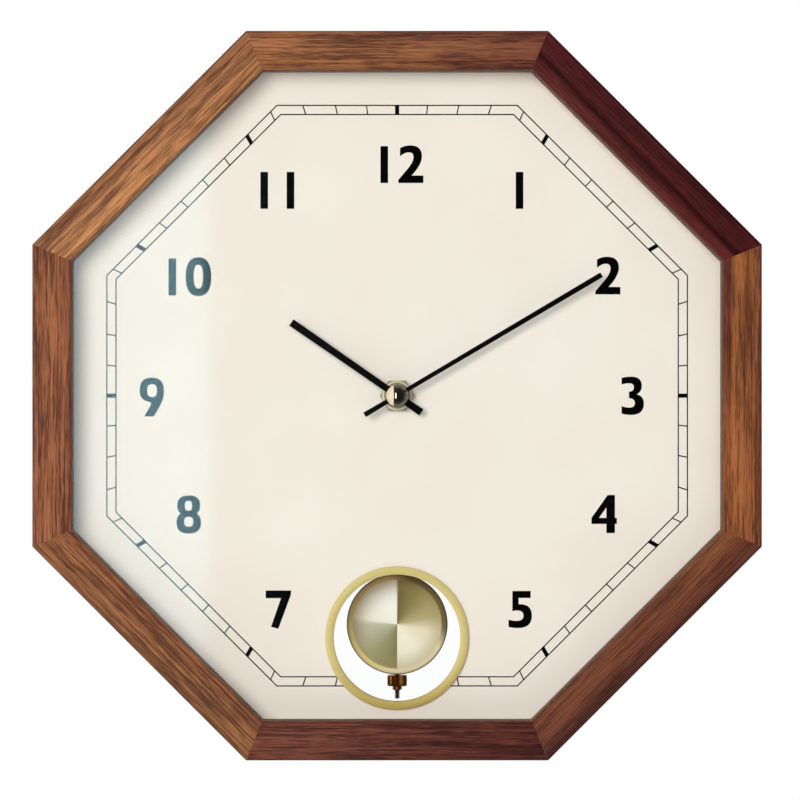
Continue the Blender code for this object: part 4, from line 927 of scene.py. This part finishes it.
# ---- Rating nut ----
# A straight-knurled brass nut, toned to copper brown, with a small collar below it. Turning it
# lifts or lowers the bob and so sets the rate.
rating_low, rating_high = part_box("rating_nut")
rating_centre = centre_of("rating_nut")
rating_centre.z = 0.0
rating_radius = (rating_high.x - rating_low.x) / 2
collar_top = rating_low.z + 1.6 * MM
collar_radius = 2.0 * MM
bore = 1.4 * MM
toned = Finish("toned brass", metallic=1.0)
stain = toned.noise(toned.place(rating_centre), (500.0, 500.0, 250.0), 3.0)
toned.grained(stain, rgb(126, 84, 46), rgb(186, 134, 78), 0.18, 0.16)
chamfer = 0.4 * MM
bm = turned(
    (
        (bore, rating_high.z),
        (rating_radius - chamfer, rating_high.z),
        (rating_radius, rating_high.z - chamfer),
        (rating_radius, collar_top + chamfer),
        (rating_radius - chamfer, collar_top),
        (collar_radius, collar_top),
        (collar_radius, rating_low.z + 0.2 * MM),
        (collar_radius - 0.2 * MM, rating_low.z),
        (bore, rating_low.z),
    ),
    96,
    "Z",
    (0.0, 0.0, 0.0),
)
KNURLS = 48
KNURL_DEPTH = 0.045
for vert in bm.verts:
    around = math.atan2(vert.co.y, vert.co.x) / math.tau * 2 * KNURLS
    if vert.co.xy.length > rating_radius - chamfer / 2 and round(around) % 2:
        vert.co.xy *= 1.0 - KNURL_DEPTH
moved(bm, rating_centre)
piece("rating_knurl", bm, toned, "rating_nut", "brass", "rating_nut", sharp=20.0)

# ---- Pendulum rod ----
# Zinc-plated steel wire with an eye at the top and a fine rolled thread at the foot.
steel = Finish("zinc plate", metallic=1.0)
drawn = steel.noise(steel.place(hub), (500.0, 500.0, 120.0), 3.0)
steel.grained(drawn, rgb(150, 148, 146), rgb(190, 188, 184), 0.26, 0.2)
steel.raised(drawn, 0.006 * MM, 0.5)
rod_low, rod_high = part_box("pendulum_rod")
rod_centre = centre_of("pendulum_rod")
rod_radius = 1.1 * MM
eye_outer = (rod_high.x - rod_low.x) / 2
eye_height = rod_high.z - eye_outer
THREAD = 0.5 * MM
THREAD_TURNS = 44
rod_profile = [(0.0, rod_low.z), (rod_radius - 0.3 * MM, rod_low.z)]
for crest in range(THREAD_TURNS):
    foot = rod_low.z + 0.25 * MM + crest * THREAD
    rod_profile += [(rod_radius - 0.16 * MM, foot), (rod_radius, foot + THREAD / 2)]
rod_top = eye_height - eye_outer + 0.35 * MM
rod_profile += [(rod_radius, rod_top), (0.0, rod_top)]
piece(
    "rod_wire",
    turned(rod_profile, 32, "Z", (rod_centre.x, rod_centre.y, 0.0)),
    steel, "pendulum", "zinc_steel", "pendulum_rod",
    sharp=20.0,
)
eye_half = 0.6 * MM
eye_hole = 1.5 * MM
piece(
    "rod_eye",
    turned(
        (
            (eye_hole, -eye_half + 0.2 * MM),
            (eye_hole + 0.2 * MM, -eye_half),
            (eye_outer - 0.3 * MM, -eye_half),
            (eye_outer, -eye_half + 0.3 * MM),
            (eye_outer, eye_half - 0.3 * MM),
            (eye_outer - 0.3 * MM, eye_half),
            (eye_hole + 0.2 * MM, eye_half),
            (eye_hole, eye_half - 0.2 * MM),
        ),
        48,
        "Y",
        (rod_centre.x, rod_centre.y, eye_height),
    ),
    steel, "pendulum", "zinc_steel",
)


# ---- Movement mouldings ----
# The movement's case, its rear cover, the pendulum housing, the swinging hanger and the setting
# knob are injection moulded in black, with softened edges and a fine spark-eroded texture.
def softened(name, node, finish, body, slot, width, segments=2):
    """A copy of a node with its sharp edges rounded."""
    bm = bmesh.new()
    bm.from_mesh(frame["nodes"][node].data)
    bmesh.ops.remove_doubles(bm, verts=bm.verts, dist=1e-6)
    bmesh.ops.dissolve_limit(bm, angle_limit=math.radians(1.0), verts=bm.verts, edges=bm.edges)
    shared = [e for e in bm.edges if len(e.link_faces) == 2]
    sharp = [e for e in shared if e.calc_face_angle(0.0) > math.radians(50.0)]
    rounded(bm, sharp, width, segments, clamp_overlap=True)
    return piece(name, bm, finish, body, slot, node, sharp=25.0)


moulded = Finish("black moulding", specular_ior_level=0.45)
texture = moulded.noise(moulded.place(hub), 1600.0, 2.0)
flow = moulded.noise(moulded.place(hub), 60.0, 2.0)
moulded_tone = moulded.mix(flow, rgb(26, 26, 27), rgb(36, 36, 37))
moulded.put(base_color=moulded_tone, roughness=0.42 + texture * 0.2)
moulded.raised(texture, 0.02 * MM, 0.6)
for name, node, body, width in (
    ("case_moulding", "movement_case", "case", 0.35 * MM),
    ("cover_moulding", "rear_cover", "case", 0.2 * MM),
    ("housing_moulding", "pendulum_housing", "case", 0.4 * MM),
    ("hanger_moulding", "pendulum_hanger", "pendulum", 0.15 * MM),
    ("knob_moulding", "setting_knob", "motion_work", 0.12 * MM),
):
    softened(name, node, moulded, body, "black_moulding", width)

# ---- Battery and contacts ----
# An AA cell in a printed sleeve with a plain copper-coloured band at its positive end, held
# between a flat tab and a leaf spring of plated steel.
cell_low, cell_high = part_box("battery")
cell_centre = centre_of("battery")
cell_radius = (cell_high.z - cell_low.z) / 2
nub_start = cell_high.x - 1.0 * MM
shoulder = nub_start - 0.25 * MM
sleeve = Finish("cell sleeve", coat_weight=0.4)
cell_length = cell_high.x - cell_low.x
sx = sleeve.axes(sleeve.place(cell_centre))[0]
band = (sx / cell_length).between(0.22, 0.225)
ends = (sx / cell_length).between(0.462, 0.465)
foot = 1.0 - (sx / cell_length).between(-0.492, -0.489)
scuff = sleeve.noise(sleeve.place(cell_centre), (300.0, 900.0, 900.0), 3.0)
tone = sleeve.mix(band, rgb(34, 38, 42), rgb(176, 112, 62))
tone = sleeve.mix(ends + foot, tone, rgb(176, 176, 174))
sleeve.put(base_color=tone, roughness=0.3 + scuff * 0.15, metallic=(ends + foot) * 0.9)
lip = 0.5 * MM
piece(
    "cell",
    turned(
        (
            (0.0, cell_high.x),
            (2.2 * MM, cell_high.x),
            (2.6 * MM, cell_high.x - 0.4 * MM),
            (2.6 * MM, nub_start),
            (5.4 * MM, nub_start),
            (5.6 * MM, shoulder),
            (cell_radius - lip, shoulder),
            (cell_radius - lip * 0.3, shoulder - lip * 0.3),
            (cell_radius, shoulder - lip),
            (cell_radius, cell_low.x + lip),
            (cell_radius - lip * 0.3, cell_low.x + lip * 0.3),
            (cell_radius - lip, cell_low.x),
            (0.0, cell_low.x),
        ),
        64,
        "X",
        (0.0, cell_centre.y, cell_centre.z),
    ),
    sleeve, "case", "battery_label", "battery",
)
for node in ("battery_contact_positive", "battery_contact_negative"):
    softened(node.replace("battery_contact", "contact"), node, steel, "case", "zinc_steel", 0.08 * MM, 1)

# ---- Works inside the case ----
# Acetal wheels and plate, a brass centre wheel, the motor's laminated stator and core, its
# enamelled coil, the ferrite magnets, and the board with its crystal can.
acetal = Finish("white acetal")
shrink = acetal.noise(acetal.place(hub), 400.0, 2.0)
acetal.grained(shrink, rgb(224, 223, 216), rgb(238, 237, 232), 0.35, 0.15)
carried(acetal, "train_plate", "hour_wheel", "minute_wheel")
carried(acetal, "third_wheel", "seconds_wheel", "fifth_wheel")
carried(brass, "centre_wheel")

laminate = Finish("plated lamination", metallic=1.0)
rolled = laminate.noise(laminate.place(hub), (40.0, 900.0, 900.0), 3.0)
laminate.grained(rolled, rgb(146, 146, 144), rgb(178, 178, 176), 0.3, 0.2)
carried(laminate, "stator", "coil_core", "quartz_crystal", "pivot_pin")

winding = Finish("enamelled wire", coat_weight=0.5)
wx, wy, _ = winding.axes(winding.place(hub))
turns = ((wx + wy) * 21000.0).wave()
winding.put(
    base_color=winding.mix(turns, rgb(142, 70, 38), rgb(198, 112, 66)),
    roughness=0.3 + turns * 0.1,
    metallic=0.6,
)
winding.raised(turns, 0.02 * MM, 0.6)
carried(winding, "motor_coil", "drive_coil")

ferrite = Finish("ferrite", specular_ior_level=0.5)
sinter = ferrite.noise(ferrite.place(hub), 900.0, 3.0)
ferrite.grained(sinter, rgb(48, 48, 50), rgb(74, 74, 76), 0.45, 0.2)
carried(ferrite, "rotor", "drive_magnet")

board = Finish("circuit board", coat_weight=0.3)
board_spot = board.place(hub)
tracks = board.noise(board_spot, 260.0, 0.0).between(0.49, 0.51)
board.grained(tracks, rgb(22, 78, 44), rgb(34, 104, 60), 0.35, 0.1)
board.raised(tracks, 0.03 * MM, 0.5)
carried(board, "circuit_board")

# ---- Clips, hanger and screws ----
# Bent angle clips hold the dial board, and a pressed keyhole plate hangs the clock, all in
# zinc-plated steel. The screws are cross-recessed, the hanger's two countersunk.
clip_sides = ("top_right", "bottom_right", "bottom_left", "top_left")
for side in clip_sides:
    softened("clip_" + side, "dial_clip_" + side, steel, "case", "zinc_steel", 0.15 * MM)
softened("keyhole_plate", "hanger_plate", steel, "case", "zinc_steel", 0.12 * MM)
HEAD = 2.4 * MM
SHANK = 1.2 * MM
CLIP_SCREW = 9.6 * MM


def screw(head_radius, head_height, shank, length, domed):
    """A screw along Z, its head's top at 0 and its point down, with a cross sunk in the head."""
    land = head_radius * (0.72 if domed else 0.97)
    drop = 0.45 * MM if domed else 0.06 * MM
    brow = (land + head_radius) / 2 + 0.1 * MM * domed
    profile = [(land, 0.0), (brow, -drop * 0.35), (head_radius, -drop)]
    profile += [(head_radius, -head_height)] if domed else []
    profile += [(shank, -head_height)]
    pitch = 0.8 * MM
    place = -head_height - pitch / 2
    while place > -length + 1.5 * pitch:
        profile += [(shank * 0.78, place), (shank, place - pitch / 2)]
        place -= pitch
    profile += [(shank * 0.78, place), (0.2 * MM, -length)]
    bm = bmesh.new()
    verts = [bm.verts.new((radius, 0.0, height)) for radius, height in profile]
    edges = [bm.edges.new(pair) for pair in zip(verts, verts[1:])]
    bmesh.ops.spin(
        bm, geom=verts + edges, cent=(0, 0, 0), axis=(0, 0, 1), angle=math.tau, steps=32, use_merge=True
    )
    tip = [e for e in bm.edges if e.is_boundary and e.verts[0].co.z < -length / 2]
    bmesh.ops.holes_fill(bm, edges=tip)
    rim = [e for e in bm.edges if e.is_boundary]
    arm, half = head_radius * 0.58, 0.3 * MM
    quarter = [(half, half), (half, arm), (-half, arm)]
    ring = []
    for turn in range(4):
        quarter_turn = Matrix.Rotation(math.pi / 2 * turn, 3, "Z")
        ring += [bm.verts.new(quarter_turn @ Vector((x, y, 0.0))) for x, y in quarter]
    cross = [bm.edges.new((ring[i - 1], ring[i])) for i in range(len(ring))]
    bmesh.ops.triangle_fill(bm, edges=rim + cross, use_beauty=True)
    low = corners_in(bmesh.ops.extrude_edge_only(bm, edges=cross)["geom"])
    bmesh.ops.translate(bm, verts=low, vec=(0.0, 0.0, -0.9 * MM))
    bmesh.ops.scale(bm, verts=low, vec=(0.7, 0.7, 1.0))
    bmesh.ops.holes_fill(bm, edges=[e for e in bm.edges if e.is_boundary])
    return bm


for count, side in enumerate(clip_sides):
    bearing = math.tau * (2 * count + 1) / SIDES
    low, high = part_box("clip_screw_" + side)
    middle = (low + high) / 2 - hub
    reach_out = Vector((middle.x, 0.0, middle.z)).length
    bm = screw(HEAD, 1.6 * MM, SHANK, CLIP_SCREW, True)
    turn_by(bm, bm.verts, math.pi, "X")
    moved(bm, (0.0, middle.y, reach_out - CLIP_SCREW / 2))
    bm = set_at_hub(bm, bearing)
    piece("panhead_" + side, bm, steel, "case", "zinc_steel", "clip_screw_" + side, sharp=28.0)
for side in ("left", "right"):
    low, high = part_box("hanger_screw_" + side)
    bm = screw(HEAD, 1.2 * MM, SHANK, high.y - low.y, False)
    turn_by(bm, bm.verts, -math.pi / 2, "X")
    moved(bm, ((low.x + high.x) / 2, high.y, (low.z + high.z) / 2))
    piece("countersunk_" + side, bm, steel, "case", "zinc_steel", "hanger_screw_" + side, sharp=28.0)

# ---- Studio ----
# White surroundings, a soft key from the upper left, a pale floor well below the clock, and a
# tall card beside the camera whose edge shows in the glass.
scene = bpy.context.scene
scene.view_settings.view_transform = "Standard"
world = bpy.data.worlds.new("studio")
scene.world = world
world.use_nodes = True
sky = world.node_tree.nodes["Background"]


def sky_node(kind, settings, sockets):
    """A node of the world's shader, and its outputs."""
    made = world.node_tree.nodes.new("ShaderNode" + kind)
    for name, value in settings.items():
        setattr(made, name, value)
    for name, value in sockets.items():
        if isinstance(value, bpy.types.NodeSocket):
            world.node_tree.links.new(value, made.inputs[name])
        else:
            made.inputs[name].default_value = value
    return made.outputs


def blend(share, low, high):
    return sky_node("Mix", {"data_type": "FLOAT"}, {0: share, 2: low, 3: high})[0]


def ramp(value, low, high):
    sockets = {"Value": value, "From Min": low, "From Max": high}
    return sky_node("MapRange", {"interpolation_type": "SMOOTHSTEP"}, sockets)[0]


rays = sky_node("LightPath", {}, {})
toward = sky_node("SeparateXYZ", {}, {0: sky_node("TexCoord", {}, {})["Generated"]})
mirrored = blend(ramp(toward["Y"], -0.45, 0.0), 0.015, 0.55)
mirrored = blend(ramp(toward["X"], -0.27, -0.30), mirrored, 1.25)
lit = blend(rays["Is Glossy Ray"], 0.19, mirrored)
seen = blend(rays["Is Camera Ray"], lit, 1.0)
world.node_tree.links.new(seen, sky.inputs["Strength"])
sky.inputs["Color"].default_value = (1.0, 1.0, 1.0, 1.0)

WARM = (1.0, 0.975, 0.955)


def lamp(name, size, watts, colour, place):
    """A round soft light aimed at the hub, which no surface mirrors."""
    data = bpy.data.lights.new(name, "AREA")
    data.shape = "DISK"
    data.size = size
    data.energy = watts
    data.color = colour
    made = bpy.data.objects.new(name, data)
    made.visible_glossy = False
    scene.collection.objects.link(made)
    made.location = hub + Vector(place)
    made.rotation_euler = (hub - made.location).to_track_quat("-Z", "Y").to_euler()


lamp("fill", 0.5, 5.2, WARM, (0.35, -2.2, 0.15))
lamp("key", 1.75, 93.0, WARM, (-1.0, -3.44, 0.585))
lamp("rear", 1.2, 45.0, (1.0, 1.0, 1.0), (1.0, 2.6, 0.9))


def stage_card(name, width, height, place, turn, finish):
    """A flat card of the set, lying level before it is turned about X."""
    bm = bmesh.new()
    bmesh.ops.create_grid(bm, x_segments=1, y_segments=1, size=0.5)
    bmesh.ops.scale(bm, verts=bm.verts, vec=(width, height, 1.0))
    turn_by(bm, bm.verts, turn, "X")
    moved(bm, place)
    mesh = bpy.data.meshes.new(name)
    bm.to_mesh(mesh)
    bm.free()
    mesh.materials.append(finish.material)
    made = bpy.data.objects.new(name, mesh)
    scene.collection.objects.link(made)
    return made


floor_finish = Finish("pale floor", roughness=0.8)
floor_cloud = floor_finish.noise(floor_finish.place(), 3.0, 2.0)
floor_finish.put(base_color=floor_finish.mix(floor_cloud, rgb(232, 231, 229), rgb(240, 239, 237)))
floor_finish.put(emission_color=(1.0, 1.0, 1.0, 1.0), emission_strength=0.15)
ground = stage_card("floor", 7.0, 7.0, hub + Vector((0.0, 0.0, -1.3)), 0.0, floor_finish)
ground.visible_glossy = False

glow = Finish("card glow", base_color=(0.0, 0.0, 0.0, 1.0), emission_strength=1.0)
glow.put(emission_color=(4.0, 4.8, 5.3, 1.0))
CARD_EDGE = -0.1565
CARD_WIDTH = 0.15
card_place = hub + Vector((CARD_EDGE - CARD_WIDTH / 2, -2.0, 0.0))
reflected = stage_card("reflected_card", CARD_WIDTH, 0.9, card_place, math.pi / 2, glow)
reflected.visible_camera = False
reflected.visible_diffuse = False
reflected.visible_shadow = False

view_data = bpy.data.cameras.new("view")
view_data.lens = 214.6
view_data.sensor_width = 36.0
view_data.clip_end = 30.0
view = bpy.data.objects.new("view", view_data)
scene.collection.objects.link(view)
view.location = hub + Vector((1.2 * MM, front - 1.96, -1.8 * MM))
view.rotation_euler = (math.pi / 2, 0.0, 0.0)
scene.camera = view
